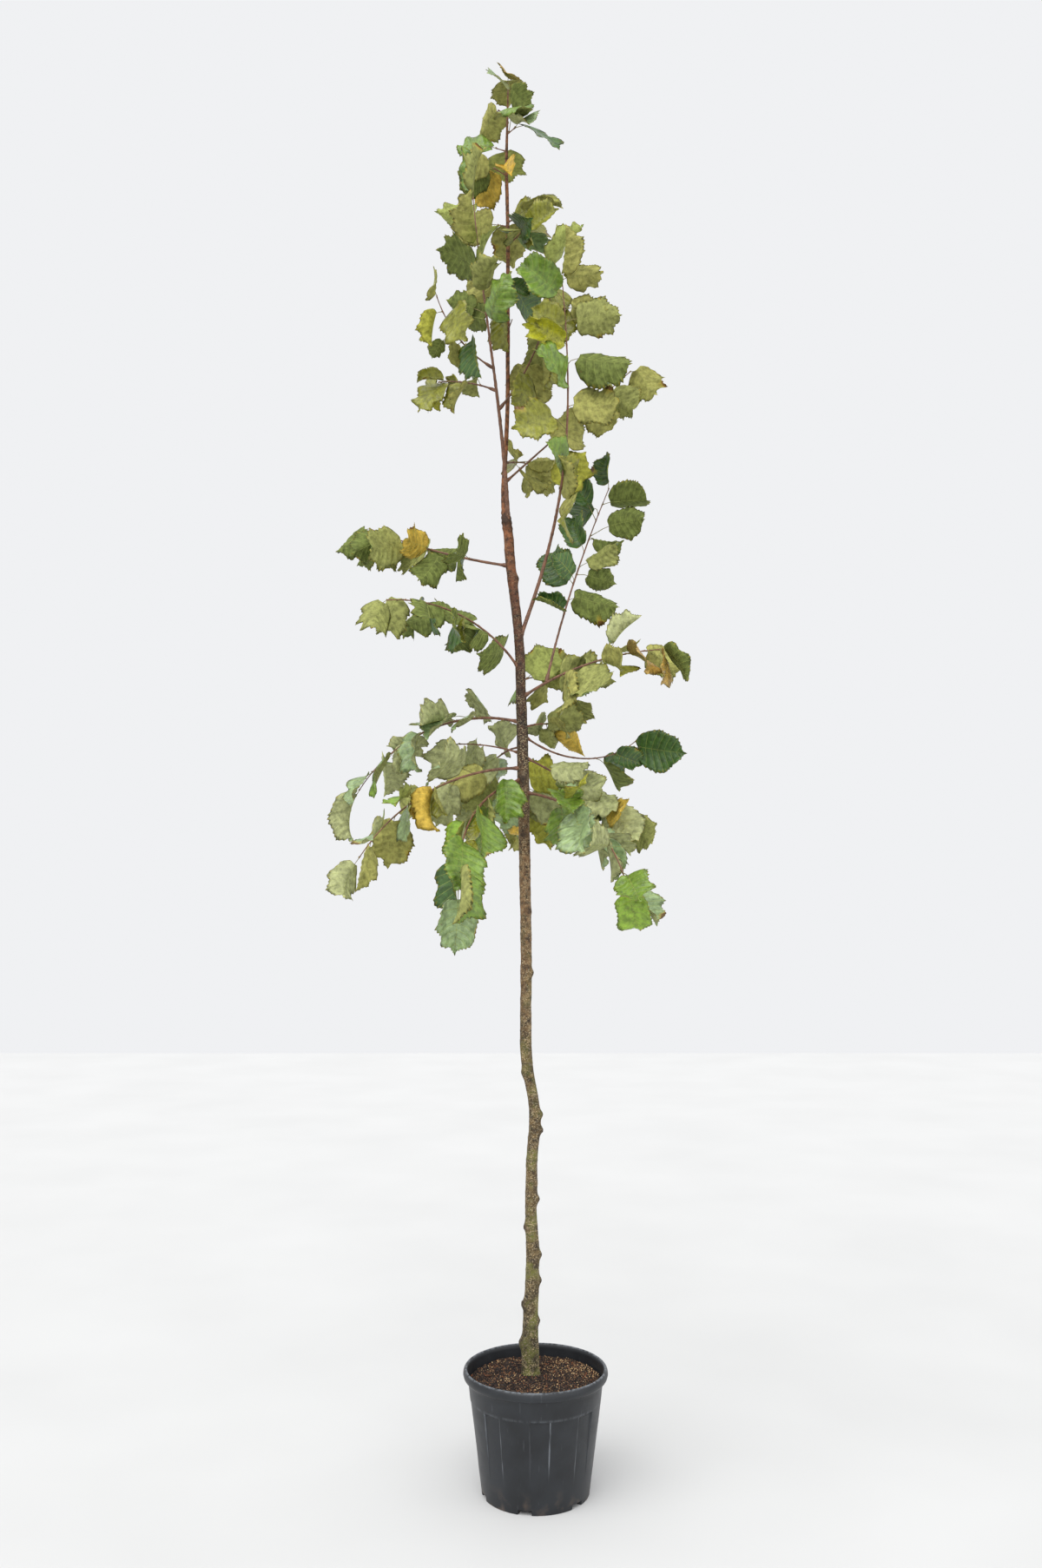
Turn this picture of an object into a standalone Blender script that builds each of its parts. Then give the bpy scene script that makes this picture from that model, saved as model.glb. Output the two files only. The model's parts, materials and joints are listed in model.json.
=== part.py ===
"""Potted common hazel tree, 3.8 m tall, in a black nursery pot.

A slender trunk leans and wavers up to a fork at two thirds of its height and
runs on as a thin leader.  Long shoots spring from it, arching over low down
and rising higher up.  Every shoot has a bare part, its bough, and a leafy
part, its mass of foliage.  Units are metres, +Z is up, and the origin is the
middle of the pot's flat underside.
"""

import math
import random
from collections import namedtuple

import bmesh
import bpy
import numpy as np

GAP = 0.0003  # air between neighbouring solids
UP = np.array([0.0, 0.0, 1.0])
NUDGE = np.array([1e-9, 0.0, 0.0])  # turns a plumb twig's sideways direction to +X

# Pot: a moulded container of 25 litres with a collar and a rolled lip.
POT_HEIGHT = 0.302
POT_BASE_RADIUS = 0.1353
COLLAR_HEIGHT = 0.228
COLLAR_RADIUS = 0.1655
COLLAR_STEP = 0.004
LIP_HEIGHT = 0.277
LIP_FOOT_RADIUS = 0.1709
LIP_RADIUS = 0.1833
LIP_EDGE_INSET = 0.002
LIP_EDGE_RISE = 0.004
MOUTH_HEIGHT = 0.288
MOUTH_RADIUS = 0.1708
LIP_CORNERS = 5
WALL = 0.0022
POT_FLOOR = 0.003

# Flutes: shallow upright hollows of the wall below the collar, fading out
# downwards.  CORNERS: where each flute's stretch of a ring has its points, in
# degrees from the flute's middle; those up to its EDGE are hollowed.
FLUTES = 8
FLUTE_TURN = math.radians(-87)
FLUTE_EDGE = 8
FLUTE_CORNERS = (-9, -8, 0, 8, 9, 22.5)
FLUTE_DEPTH = 0.004
FLUTE_FOOT = 0.06

# Drain notches round the foot of the wall.
NOTCHES = 6
NOTCH_TURN = math.radians(-102)
NOTCH_WIDTH = 0.033
NOTCH_HEIGHT = 0.011
NOTCH_DEPTH = 0.020

SOIL_TOP = 0.273

# Trunk: height, place left to right, place front to back and diameter of
# each spot where its lean or its taper changes, eased over SWAY steps.
STEP = 0.01
SWAY = 5
TRUNK_SPOTS = (
    (0.273, -0.010, 0.034, 0.044),
    (0.340, -0.015, 0.034, 0.045),
    (0.420, -0.012, 0.034, 0.037),
    (0.580, -0.005, 0.034, 0.034),
    (0.660, -0.012, 0.033, 0.031),
    (0.840, -0.008, 0.033, 0.029),
    (0.925, 0.004, 0.033, 0.030),
    (1.000, -0.012, 0.033, 0.028),
    (1.075, -0.025, 0.032, 0.030),
    (1.350, -0.023, 0.032, 0.029),
    (1.700, -0.029, 0.031, 0.031),
    (1.900, -0.033, 0.031, 0.030),
    (2.170, -0.041, 0.030, 0.025),
    (2.380, -0.065, 0.030, 0.027),
    (2.480, -0.071, 0.030, 0.028),
    (2.530, -0.082, 0.032, 0.018),
    (2.600, -0.084, 0.034, 0.013),
    (2.800, -0.073, 0.034, 0.011),
    (3.300, -0.0725, 0.030, 0.0105),
    (3.500, -0.0775, 0.028, 0.009),
    (3.705, -0.073, 0.028, 0.004),
)
TRUNK_SIDES = 8
TRUNK_RING_SPACING = 0.09

# Knobs left where shoots were pruned: height, heading in degrees, rise and spread.
KNOBS = (
    (0.350, 185, 0.0080, 0.022),
    (0.405, 0, 0.0055, 0.015),
    (0.445, 170, 0.0065, 0.020),
    (0.505, 5, 0.0065, 0.015),
    (0.570, -10, 0.0065, 0.015),
    (0.640, 200, 0.0050, 0.016),
    (0.710, 0, 0.0080, 0.015),
    (0.885, -15, 0.0080, 0.015),
    (0.925, 10, 0.0070, 0.015),
    (1.030, 190, 0.0050, 0.020),
    (1.290, 0, 0.0065, 0.015),
    (1.450, -60, 0.0065, 0.015),
    (1.650, -100, 0.0065, 0.015),
    (1.800, -90, 0.0065, 0.020),
    (2.340, -20, 0.0050, 0.015),
    (2.500, -90, 0.0065, 0.020),
)

# Shoots.  parent, spring: what it springs from, and how high on the trunk or
# how far along another shoot.  heading, climb: its direction at the foot, in
# degrees from +X and above the level.  bend, turn: how far climb and heading
# change along it.  length, bare: of the whole shoot and of its bough.  girth:
# its diameter at the foot.  leaves, blade: how many leaves, and their length.
# hang: how far they droop.  catkins: how many.  seed: of its chances.
Shoot = namedtuple(
    "Shoot", "parent spring heading climb bend turn length bare girth leaves blade hang catkins seed"
)
SHOOTS = {
    "left_leader": Shoot("trunk", 2.46, -95, 76, 9, -95, 0.91, 0.5, 0.012, 7, 0.12, 0.03, 0, 94),
    "long_right": Shoot("trunk", 2.171, 11, 70, 13, -146, 0.97, 0.36, 0.011, 12, 0.125, 0.23, 0, 106),
    "middle_right": Shoot("trunk", 2.016, -18, 32, -32, -1, 0.4, 0.1, 0.008, 8, 0.115, 0.2, 4, 22),
    "inner_right": Shoot("trunk", 2.06, 62, 25, -30, 0, 0.14, 0.0, 0.005, 3, 0.13, 0.18, 0, 55),
    "upright_right": Shoot("middle_right", 0.085, 47, 72, -5, -30, 0.6, 0.2, 0.007, 9, 0.105, 0.2, 0, 62),
    "diagonal_right": Shoot("trunk", 2.603, 25, 44, 0, -9, 0.53, 0.34, 0.006, 5, 0.11, 0.57, 0, 106),
    "far_right": Shoot("trunk", 1.919, 17, -37, 75, 16, 0.38, 0.22, 0.006, 3, 0.115, 0.32, 0, 108),
    "behind_right": Shoot("trunk", 1.935, 50, 20, -30, 0, 0.2, 0.05, 0.006, 5, 0.105, 0.28, 0, 72),
    "low_right": Shoot("trunk", 1.764, -30, -8, -52, -38, 0.47, 0.08, 0.008, 10, 0.11, 0.28, 0, 21),
    "outer_right": Shoot("trunk", 1.86, 8, -25, -13, 1, 0.32, 0.06, 0.006, 9, 0.11, 0.42, 0, 39),
    "upper_left": Shoot("trunk", 2.374, 172, 10, 16, -13, 0.43, 0.11, 0.008, 9, 0.11, 0.45, 2, 36),
    "second_left": Shoot("trunk", 2.089, -149, 53, -61, -12, 0.43, 0.06, 0.007, 8, 0.115, 0.52, 0, 96),
    "third_left": Shoot("trunk", 1.95, 160, 17, -75, 12, 0.53, 0.08, 0.008, 9, 0.115, 0.4, 2, 47),
    "fourth_left": Shoot("trunk", 1.828, -161, 0, -58, -6, 0.52, 0.09, 0.008, 10, 0.11, 0.38, 0, 5),
    "fifth_left": Shoot("trunk", 1.866, 158, 20, -24, 1, 0.24, 0.08, 0.005, 4, 0.115, 0.65, 0, 69),
    "front_left": Shoot("trunk", 1.8, -133, -15, -38, 48, 0.54, 0.06, 0.008, 10, 0.12, 0.77, 0, 22),
    "fork_twig": Shoot("left_leader", 0.33, 13, 52, 34, 10, 0.43, 0.1, 0.006, 7, 0.12, 0.57, 0, 29),
    "left_twig_high": Shoot("left_leader", 0.445, -160, 22, 42, 23, 0.24, 0.07, 0.005, 5, 0.095, 0.67, 0, 35),
    "left_twig_low": Shoot("left_leader", 0.38, 150, 30, -23, -2, 0.2, 0.05, 0.005, 5, 0.095, 0.3, 0, 16),
    "leader_tip": Shoot("trunk", 3.705, -30, 90, 0, 0, 0.035, 0.0, 0.004, 4, 0.085, 0.62, 0, 74),
    "leader_1": Shoot("trunk", 3.645, -170, 25, 0, 0, 0.03, 0.0, 0.004, 1, 0.125, 0.08, 0, 30),
    "leader_2": Shoot("trunk", 3.59, -20, 30, 0, 0, 0.03, 0.0, 0.004, 2, 0.12, 0.62, 0, 109),
    "leader_3": Shoot("trunk", 3.54, 165, 25, 0, 0, 0.035, 0.0, 0.004, 2, 0.105, 0.42, 0, 18),
    "leader_4": Shoot("trunk", 3.47, -165, 25, 0, 0, 0.04, 0.0, 0.004, 3, 0.1, 0.55, 0, 58),
    "leader_5": Shoot("trunk", 3.335, -10, 35, 0, 0, 0.04, 0.0, 0.004, 2, 0.12, 0.47, 0, 33),
    "leader_6": Shoot("trunk", 3.325, 140, 25, 0, 0, 0.04, 0.0, 0.004, 2, 0.11, 0.52, 0, 29),
    "leader_7": Shoot("trunk", 3.27, -40, 25, 0, 0, 0.06, 0.0, 0.004, 4, 0.105, 0.42, 0, 23),
    "leader_8": Shoot("trunk", 3.16, 120, 25, 0, 0, 0.04, 0.0, 0.004, 3, 0.105, 0.43, 0, 108),
    "leader_9": Shoot("trunk", 3.03, -70, 25, 0, 0, 0.04, 0.0, 0.004, 3, 0.105, 0.77, 0, 21),
    "back_low": Shoot("trunk", 1.8, 85, 5, -40, 0, 0.28, 0.06, 0.006, 6, 0.11, 0.55, 0, 102),
    "back_left": Shoot("trunk", 1.885, 118, 5, -50, 0, 0.34, 0.08, 0.006, 7, 0.11, 0.43, 0, 66),
    "back_high": Shoot("trunk", 2.66, 65, 20, -10, 0, 0.22, 0.05, 0.005, 5, 0.11, 0.3, 0, 46),
}
LIMB_SIDES = 5
LIMB_RING_STEPS = 5
TWIG_TIP_RADIUS = 0.0016

# Leaves.  OUTLINE: a blade's half width at shares of its length.  RIBS: the
# shares where the solid blade has a cross section.
Leaf = namedtuple("Leaf", "foot knee root axis face length droop fold")
OUTLINE = ((0.0, 0.0), (0.03, 0.24), (0.20, 0.40), (0.52, 0.45), (0.78, 0.34), (0.90, 0.13), (1.0, 0.0))
RIBS = (0.05, 0.40, 0.78)
BLADE_THICKNESS = 0.016
STALK_RADIUS = 0.0012
SINK = 0.004

# How a leaf grows.  The ranges are from least to most, angles in degrees and
# lengths as shares of the blade's, but the spur's in metres.  A level twig's
# leaves lie in two ranks beside it, and a steep one's ranks may turn further.
FIRST_PLACE = 0.35
RANK_TURN_LEVEL = 25
RANK_TURN_STEEP = 65
SPRAY_TWIST = 110
SIDE_SPREAD = (35, 80)
TIP_SPREAD = (5, 35)
RANK_STRAY = 35
SPUR = (-0.06, 0.045)
HANG_STRAY = 0.3
MOST_HANG = 0.92
FACE_LEAN = 0.6
FACE_STRAY = 25
BLADE_SHARE = (0.85, 1.15)
PETIOLE_SHARE = (0.15, 0.22)
PETIOLE_BEND = 0.5
DROOP = (0.1, 0.95)
FOLD = (-0.15, 0.6)

# What a leaf keeps clear of, and the places of it that are tested.
CROWN_TOP = 3.765
LIMB_CLEAR = 0.010
STALK_CLEAR = 0.004
LEAF_CLEAR = 0.012
SPACE_CLEAR = 0.003
TRIES = 30
TESTED_ALONG = np.array([0.03, 0.15, 0.28, 0.41, 0.54, 0.67, 0.79, 0.90, 1.0])
TESTED_ACROSS = np.linspace(-1, 1, 9)

# Catkins: next spring's flowers, which already hang from the twigs in autumn.
CATKIN_LENGTH = 0.025
CATKIN_RADII = (0.0009, 0.0010, 0.0024, 0.0022, 0.0008)
CATKIN_SHARES = (0.0, 0.25, 0.35, 0.85, 1.0)
CATKIN_CLEAR = 0.006
CATKIN_STRAY = 0.35


def new_material(name, colour, roughness):
    """A plain Principled material of this linear colour."""
    made = bpy.data.materials.new(name)
    made.use_nodes = True
    shader = made.node_tree.nodes["Principled BSDF"]
    shader.inputs["Base Color"].default_value = (*colour, 1.0)
    shader.inputs["Roughness"].default_value = roughness
    made.diffuse_color = (*colour, 1.0)
    return made


def solid(name, rings, finish):
    """A closed body: a skin over rings of equally many points, capped at both ends."""
    count = len(rings[0])
    points = np.vstack(rings)
    faces = [tuple(range(count)), tuple(range(len(points) - count, len(points)))]
    for first in range(0, len(points) - count, count):
        for i in range(count):
            j = (i + 1) % count
            faces.append((first + i, first + j, first + count + j))
            faces.append((first + i, first + count + j, first + count + i))
    mesh = bpy.data.meshes.new(name)
    mesh.from_pydata(points.tolist(), [], faces)
    shape = bmesh.new()
    shape.from_mesh(mesh)
    bmesh.ops.remove_doubles(shape, verts=shape.verts, dist=1e-6)
    bmesh.ops.recalc_face_normals(shape, faces=shape.faces)
    shape.to_mesh(mesh)
    shape.free()
    mesh.materials.append(finish)
    made = bpy.data.objects.new(name, mesh)
    bpy.context.scene.collection.objects.link(made)
    return made


def is_closed(mesh):
    """Whether every edge of a mesh has two faces."""
    shape = bmesh.new()
    shape.from_mesh(mesh)
    closed = all(edge.is_manifold for edge in shape.edges)
    shape.free()
    return closed


def combine(target, operation, others):
    """Apply one Boolean of the target with a collection, then remove the others."""
    group = bpy.data.collections.new(f"{target.name}_others")
    bpy.context.scene.collection.children.link(group)
    for other in others:
        bpy.context.scene.collection.objects.unlink(other)
        group.objects.link(other)
    step = target.modifiers.new(operation.lower(), "BOOLEAN")
    step.operation = operation
    step.operand_type = "COLLECTION"
    step.collection = group
    for solver in ("EXACT", "MANIFOLD"):
        step.solver = solver
        graph = bpy.context.evaluated_depsgraph_get()
        result = bpy.data.meshes.new_from_object(target.evaluated_get(graph))
        if is_closed(result):
            break
    target.modifiers.clear()
    target.data = result
    for other in others:
        bpy.data.objects.remove(other)
    bpy.data.collections.remove(group)


# Pot and soil


def wall_radius(height):
    """The outside of the pot's wall: a cone, a steeper collar, and out to the mouth."""
    heights = (0, COLLAR_HEIGHT, LIP_HEIGHT, MOUTH_HEIGHT)
    return np.interp(height, heights, (POT_BASE_RADIUS, COLLAR_RADIUS, LIP_FOOT_RADIUS, MOUTH_RADIUS + WALL))


def pot_ring(radius, height):
    """A level ring of this radius, hollowed by the flutes where the height has them."""
    corners = np.radians(FLUTE_CORNERS)
    sectors = FLUTE_TURN + np.arange(FLUTES) * math.tau / FLUTES
    angle = (sectors[:, None] + corners).ravel()
    fade = np.clip((height - FLUTE_FOOT) / (COLLAR_HEIGHT - FLUTE_FOOT), 0, 1) * (height < COLLAR_HEIGHT)
    hollowed = np.tile(np.abs(FLUTE_CORNERS) <= FLUTE_EDGE, FLUTES)
    reach = radius - FLUTE_DEPTH * fade * hollowed
    return np.stack([reach * np.cos(angle), reach * np.sin(angle), np.full(len(angle), height)], 1)


def wall_rings(bottom, top, inset):
    """Rings up the wall between two heights, set in from its outside."""
    heights = [bottom, FLUTE_FOOT, COLLAR_HEIGHT - COLLAR_STEP, COLLAR_HEIGHT, LIP_HEIGHT]
    heights = [height for height in heights if height < top] + [top]
    return [pot_ring(wall_radius(height) - inset, height) for height in heights]


def lip_rings():
    """The rolled lip, half an ellipse from the collar's outside over to the mouth."""
    middle = (LIP_RADIUS + MOUTH_RADIUS) / 2
    rings = [pot_ring(LIP_RADIUS - LIP_EDGE_INSET, LIP_HEIGHT + LIP_EDGE_RISE)]
    for angle in np.linspace(0, math.pi, LIP_CORNERS):
        radius = middle + (LIP_RADIUS - middle) * math.cos(angle)
        rings.append(pot_ring(radius, MOUTH_HEIGHT + (POT_HEIGHT - MOUTH_HEIGHT) * math.sin(angle)))
    return rings


def notch_blocks(grow):
    """A block for each drain notch at the foot of the wall, larger all round by grow."""
    blocks = []
    half = NOTCH_WIDTH / 2 + grow
    top = NOTCH_HEIGHT + grow
    for k in range(NOTCHES):
        angle = NOTCH_TURN + k * math.tau / NOTCHES
        outward = np.array([math.cos(angle), math.sin(angle), 0.0])
        sideways = np.array([-math.sin(angle), math.cos(angle), 0.0])
        rings = []
        for reach in (POT_BASE_RADIUS - NOTCH_DEPTH - grow, POT_BASE_RADIUS + NOTCH_DEPTH):
            corners = ((-half, -top), (half, -top), (half, top), (-half, top))
            rings.append([outward * reach + sideways * side + UP * height for side, height in corners])
        blocks.append(solid(f"notch_block_{k}", rings, plastic))
    return blocks


def make_pot():
    """A thin shell, whose wall and floor step in round the drain notches."""
    inside = wall_rings(POT_FLOOR, MOUTH_HEIGHT, WALL) + [pot_ring(MOUTH_RADIUS, 2 * POT_HEIGHT)]
    hollow = solid("hollow", inside, plastic)
    combine(hollow, "DIFFERENCE", notch_blocks(WALL))
    pot = solid("pot", wall_rings(0.0, LIP_HEIGHT, 0.0) + lip_rings(), plastic)
    combine(pot, "DIFFERENCE", notch_blocks(0.0) + [hollow])


def make_soil():
    """The pot's filling, level on top and 0.3 mm clear of the wall and floor."""
    soil = solid("soil", wall_rings(POT_FLOOR + GAP, SOIL_TOP - GAP, WALL + GAP), compost)
    combine(soil, "DIFFERENCE", notch_blocks(WALL + GAP))


# Trunk and shoots


def trunk_course():
    """The trunk's middle and radius at every step up it: x, y, z and radius."""
    spots = np.array(TRUNK_SPOTS)
    heights = np.append(np.arange(SOIL_TOP, spots[-1, 0], STEP), spots[-1, 0])
    course = np.stack([np.interp(heights, spots[:, 0], spots[:, k]) for k in (1, 2, 3)], 1)
    padded = np.pad(course, ((SWAY, SWAY), (0, 0)), mode="edge")
    share = np.ones(2 * SWAY + 1) / (2 * SWAY + 1)
    eased = np.stack([np.convolve(padded[:, k], share, "valid") for k in range(3)], 1)
    return np.stack([eased[:, 0], eased[:, 1], heights, eased[:, 2] / 2], 1)


def trunk_rings(grow):
    """Level rings up the trunk, with its knobs, every point further out by grow."""
    heights = list(np.arange(SOIL_TOP, COURSE[-1, 2], TRUNK_RING_SPACING)) + [COURSE[-1, 2]]
    for height, _, _, spread in KNOBS:
        heights = [other for other in heights if abs(other - height) > 1.5 * spread]
        heights += [height - spread, height, height + spread]
    angle = np.arange(TRUNK_SIDES) * math.tau / TRUNK_SIDES
    rings = []
    for height in sorted(heights):
        x, y, _, radius = (np.interp(height, COURSE[:, 2], COURSE[:, k]) for k in range(4))
        reach = np.full(TRUNK_SIDES, radius + grow)
        for knob_height, heading, rise, spread in KNOBS:
            aside = (angle - math.radians(heading) + math.pi) % math.tau - math.pi
            distance = np.hypot((height - knob_height) / spread, aside * radius / spread)
            reach += rise * np.exp(-2 * distance ** 2)
        ring = [x + reach * np.cos(angle), y + reach * np.sin(angle), np.full(TRUNK_SIDES, height)]
        rings.append(np.stack(ring, 1))
    return rings


def unit(vector):
    """The vector at length one."""
    return vector / math.sqrt(float(vector @ vector))


def turned(vector, axis, angle):
    """The vector turned about a unit axis, by Rodrigues' formula."""
    return (
        vector * math.cos(angle)
        + np.cross(axis, vector) * math.sin(angle)
        + axis * float(axis @ vector) * (1 - math.cos(angle))
    )


def shoot_routes():
    """Each shoot's middle line: climb and heading change evenly from foot to tip."""
    routes = {}
    for name, shoot in SHOOTS.items():
        if shoot.parent == "trunk":
            foot = np.array([np.interp(shoot.spring, COURSE[:, 2], COURSE[:, k]) for k in range(3)])
        else:
            foot = routes[shoot.parent][round(shoot.spring / STEP)]
        steps = round(shoot.length / STEP)
        share = (np.arange(steps) + 0.5) / steps
        climb = np.radians(shoot.climb + shoot.bend * share)
        heading = np.radians(shoot.heading + shoot.turn * share)
        level = np.stack([np.cos(heading), np.sin(heading)], 1) * np.cos(climb)[:, None]
        stride = np.column_stack([level, np.sin(climb)]) * shoot.length / steps
        routes[name] = np.vstack([foot, foot + np.cumsum(stride, 0)])
    return routes


def limb(name, shoot_name, first, last, grow, finish):
    """The stretch of a shoot between two steps of its route, as a tapering tube."""
    shoot = SHOOTS[shoot_name]
    route = ROUTES[shoot_name]
    ahead = np.gradient(route, axis=0)
    across = np.cross(ahead[0], UP) + NUDGE
    angle = np.arange(LIMB_SIDES) * math.tau / LIMB_SIDES
    stops = sorted(set(range(first, last, LIMB_RING_STEPS)) | {last})
    if len(stops) > 2 and stops[-1] - stops[-2] < 2:
        stops.pop(-2)
    rings = []
    for i in range(last + 1):
        forward = unit(ahead[i])
        across = unit(across - forward * float(across @ forward))
        if i in stops:
            radius = np.interp(i, (0, len(route) - 1), (shoot.girth / 2, TWIG_TIP_RADIUS)) + grow
            aside = across * np.cos(angle)[:, None] + np.cross(forward, across) * np.sin(angle)[:, None]
            middle = route[i] + forward * GAP * (i == first and first > 0)
            rings.append(middle + radius * aside)
    return solid(name, rings, finish)


# Leaves


def blade_points(leaf, along, across):
    """Points of a blade: its midrib a falling arc, its halves folded up beside it."""
    curve = leaf.droop / leaf.length
    angle = leaf.droop * along
    ahead = np.sin(angle) / curve
    below = (1 - np.cos(angle)) / curve
    side = np.cross(leaf.face, leaf.axis)
    lift = leaf.face * np.cos(angle)[:, None] + leaf.axis * np.sin(angle)[:, None]
    width = across * leaf.length
    return (
        leaf.root
        + leaf.axis * ahead[:, None]
        - leaf.face * below[:, None]
        + side * (width * math.cos(leaf.fold))[:, None]
        + lift * (np.abs(width) * math.sin(leaf.fold))[:, None]
    )


def tested_points(leaf):
    """The stalk's three points and a grid over the blade."""
    half = np.interp(TESTED_ALONG, *np.array(OUTLINE).T)
    along = np.repeat(TESTED_ALONG, len(TESTED_ACROSS))
    blade = blade_points(leaf, along, np.outer(half, TESTED_ACROSS).ravel())
    return np.vstack([leaf.knee, (leaf.knee + leaf.root) / 2, leaf.root, blade])


def draw_leaf(chance, shoot, place, ahead, side, rank, twist, last):
    """One leaf by chance: it leans out of its twig, droops, and turns its face up."""
    spread = math.radians(chance.uniform(*(TIP_SPREAD if last else SIDE_SPREAD)))
    level = unit(np.cross(ahead, UP) + NUDGE)
    out = turned(level * side, ahead, rank + math.radians(chance.uniform(-RANK_STRAY, RANK_STRAY)))
    stalk = unit(math.cos(spread) * ahead + math.sin(spread) * out)
    spur = max(0.0, chance.uniform(*SPUR)) * (not last)
    hang = min(MOST_HANG, max(0.0, shoot.hang + chance.uniform(-HANG_STRAY, HANG_STRAY)))
    axis = unit((1 - hang) * stalk - hang * UP)
    lift = UP + FACE_LEAN * stalk
    upright = unit(lift - axis * float(axis @ lift))
    face = turned(upright, axis, twist + math.radians(chance.gauss(0, FACE_STRAY)))
    length = shoot.blade * chance.uniform(*BLADE_SHARE)
    petiole = length * chance.uniform(*PETIOLE_SHARE)
    droop = chance.uniform(*DROOP)
    fold = chance.uniform(*FOLD)
    knee = place + stalk * spur
    root = knee + unit(stalk + PETIOLE_BEND * axis) * petiole
    return Leaf(place - ahead * SINK, knee, root, axis, face, length, droop, fold)


def spacing(points, others):
    """The distance of each point to each of the others."""
    between = points[:, None, :] - others[None, :, :]
    return np.sqrt(np.einsum("ijk,ijk->ij", between, between))


def surroundings(name):
    """The limbs round a shoot with the radius to keep off them, and the other masses' stems."""
    points = [COURSE[:, :3]]
    radii = [COURSE[:, 3]]
    stems = []
    for other, shoot in SHOOTS.items():
        if other != name:
            points.append(ROUTES[other])
            radii.append(np.full(len(ROUTES[other]), shoot.girth / 2))
            stems.append(ROUTES[other][round(shoot.bare / STEP):])
    return np.vstack(points), np.concatenate(radii), np.vstack(stems)


def fits(leaf, name, leafy, around, grown):
    """Whether a leaf keeps to its mass's space, clear of limbs and of the leaves grown."""
    cloud = tested_points(leaf)
    blade = cloud[3 + len(TESTED_ACROSS):]
    limbs, radii, stems = around
    if cloud[:, 2].max() > CROWN_TOP:
        return False
    if spacing(blade, ROUTES[name]).min() < LIMB_CLEAR:
        return False
    if (spacing(blade, limbs) < radii + LIMB_CLEAR).any():
        return False
    if (spacing(cloud[:3], limbs) < radii + STALK_CLEAR).any():
        return False
    if (spacing(cloud, stems).min(1) < spacing(cloud, leafy).min(1) + SPACE_CLEAR).any():
        return False
    return all(spacing(blade, tested_points(other)).min() >= LEAF_CLEAR for other in grown)


def grow_leaves(name, chance):
    """Leaves at even steps up a shoot, left and right in turn; one that never fits is skipped."""
    shoot = SHOOTS[name]
    leafy = ROUTES[name][round(shoot.bare / STEP):]
    steep = abs(float(unit(leafy[-1] - leafy[0])[2]))
    rank = math.radians(chance.uniform(-1, 1) * (RANK_TURN_LEVEL + RANK_TURN_STEEP * steep))
    first = chance.choice((-1, 1))
    twist = math.radians(chance.uniform(-SPRAY_TWIST, SPRAY_TWIST))
    around = surroundings(name)
    grown = []
    for i in range(shoot.leaves):
        share = i / (shoot.leaves - 1) if shoot.leaves > 1 else 1.0
        if shoot.bare == 0:
            share = FIRST_PLACE + (1 - FIRST_PLACE) * share
        j = max(1, round(share * (len(leafy) - 1)))
        ahead = unit(leafy[j] - leafy[j - 1])
        last = shoot.leaves > 1 and i == shoot.leaves - 1
        for _ in range(TRIES):
            leaf = draw_leaf(chance, shoot, leafy[j], ahead, first * (-1) ** i, rank, twist, last)
            if fits(leaf, name, leafy, around, grown):
                grown.append(leaf)
                break
    return grown


def leaf_solid(name, leaf):
    """A leaf as one body: a square stalk that opens into a thin folded blade."""
    side = np.cross(leaf.face, leaf.axis)
    stops = [leaf.foot, leaf.knee, leaf.root]
    if spacing(leaf.foot[None], leaf.knee[None])[0, 0] < 2 * SINK:
        stops.pop(1)
    rings = []
    across = side
    for here, there in zip(reversed(stops[:-1]), reversed(stops[1:])):
        forward = unit(there - here)
        across = unit(across - forward * float(across @ forward))
        lift = np.cross(forward, across)
        rings.insert(0, [here + STALK_RADIUS * way for way in (across, lift, -across, -lift)])
    rings.append([leaf.root + STALK_RADIUS * way for way in (side, leaf.face, -side, -leaf.face)])
    half = np.interp(RIBS, *np.array(OUTLINE).T)
    edges = [blade_points(leaf, np.array(RIBS), half * way) for way in (1, 0, -1)]
    for i, along in enumerate(RIBS):
        lift = leaf.face * math.cos(leaf.droop * along) + leaf.axis * math.sin(leaf.droop * along)
        thick = lift * leaf.length * BLADE_THICKNESS / 2
        rings.append([edges[0][i], edges[1][i] + thick, edges[2][i], edges[1][i] - thick])
    tip = blade_points(leaf, np.array([1.0]), np.array([0.0]))[0]
    rings.append([tip] * 4)
    return solid(name, rings, leaf_green)


def grow_catkins(name, chance, leaves):
    """Catkins in pairs that hang from one place of the stem, where there is room."""
    shoot = SHOOTS[name]
    leafy = ROUTES[name][round(shoot.bare / STEP):]
    limbs, radii, stems = surroundings(name)
    grown = []
    for k in range(shoot.catkins):
        for _ in range(TRIES):
            foot = grown[-1][0] if k % 2 else leafy[chance.randrange(1, len(leafy) - 1)]
            lean = np.array([chance.gauss(0, CATKIN_STRAY), chance.gauss(0, CATKIN_STRAY), 0.0])
            length = CATKIN_LENGTH * chance.uniform(0.85, 1.15)
            points = foot + np.outer(CATKIN_SHARES, unit(lean - UP)) * length
            clear = spacing(points[2:], ROUTES[name]).min() > CATKIN_CLEAR
            clear &= not (spacing(points, limbs) < radii + STALK_CLEAR).any()
            clear &= not (spacing(points, stems).min(1) < spacing(points, leafy).min(1) + SPACE_CLEAR).any()
            clear &= all(spacing(points, tested_points(leaf)).min() > CATKIN_CLEAR for leaf in leaves)
            clear &= all(spacing(points[3:], other[3:]).min() > CATKIN_CLEAR for other in grown)
            if clear:
                grown.append(points)
                break
        else:
            return grown
    return grown


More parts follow.
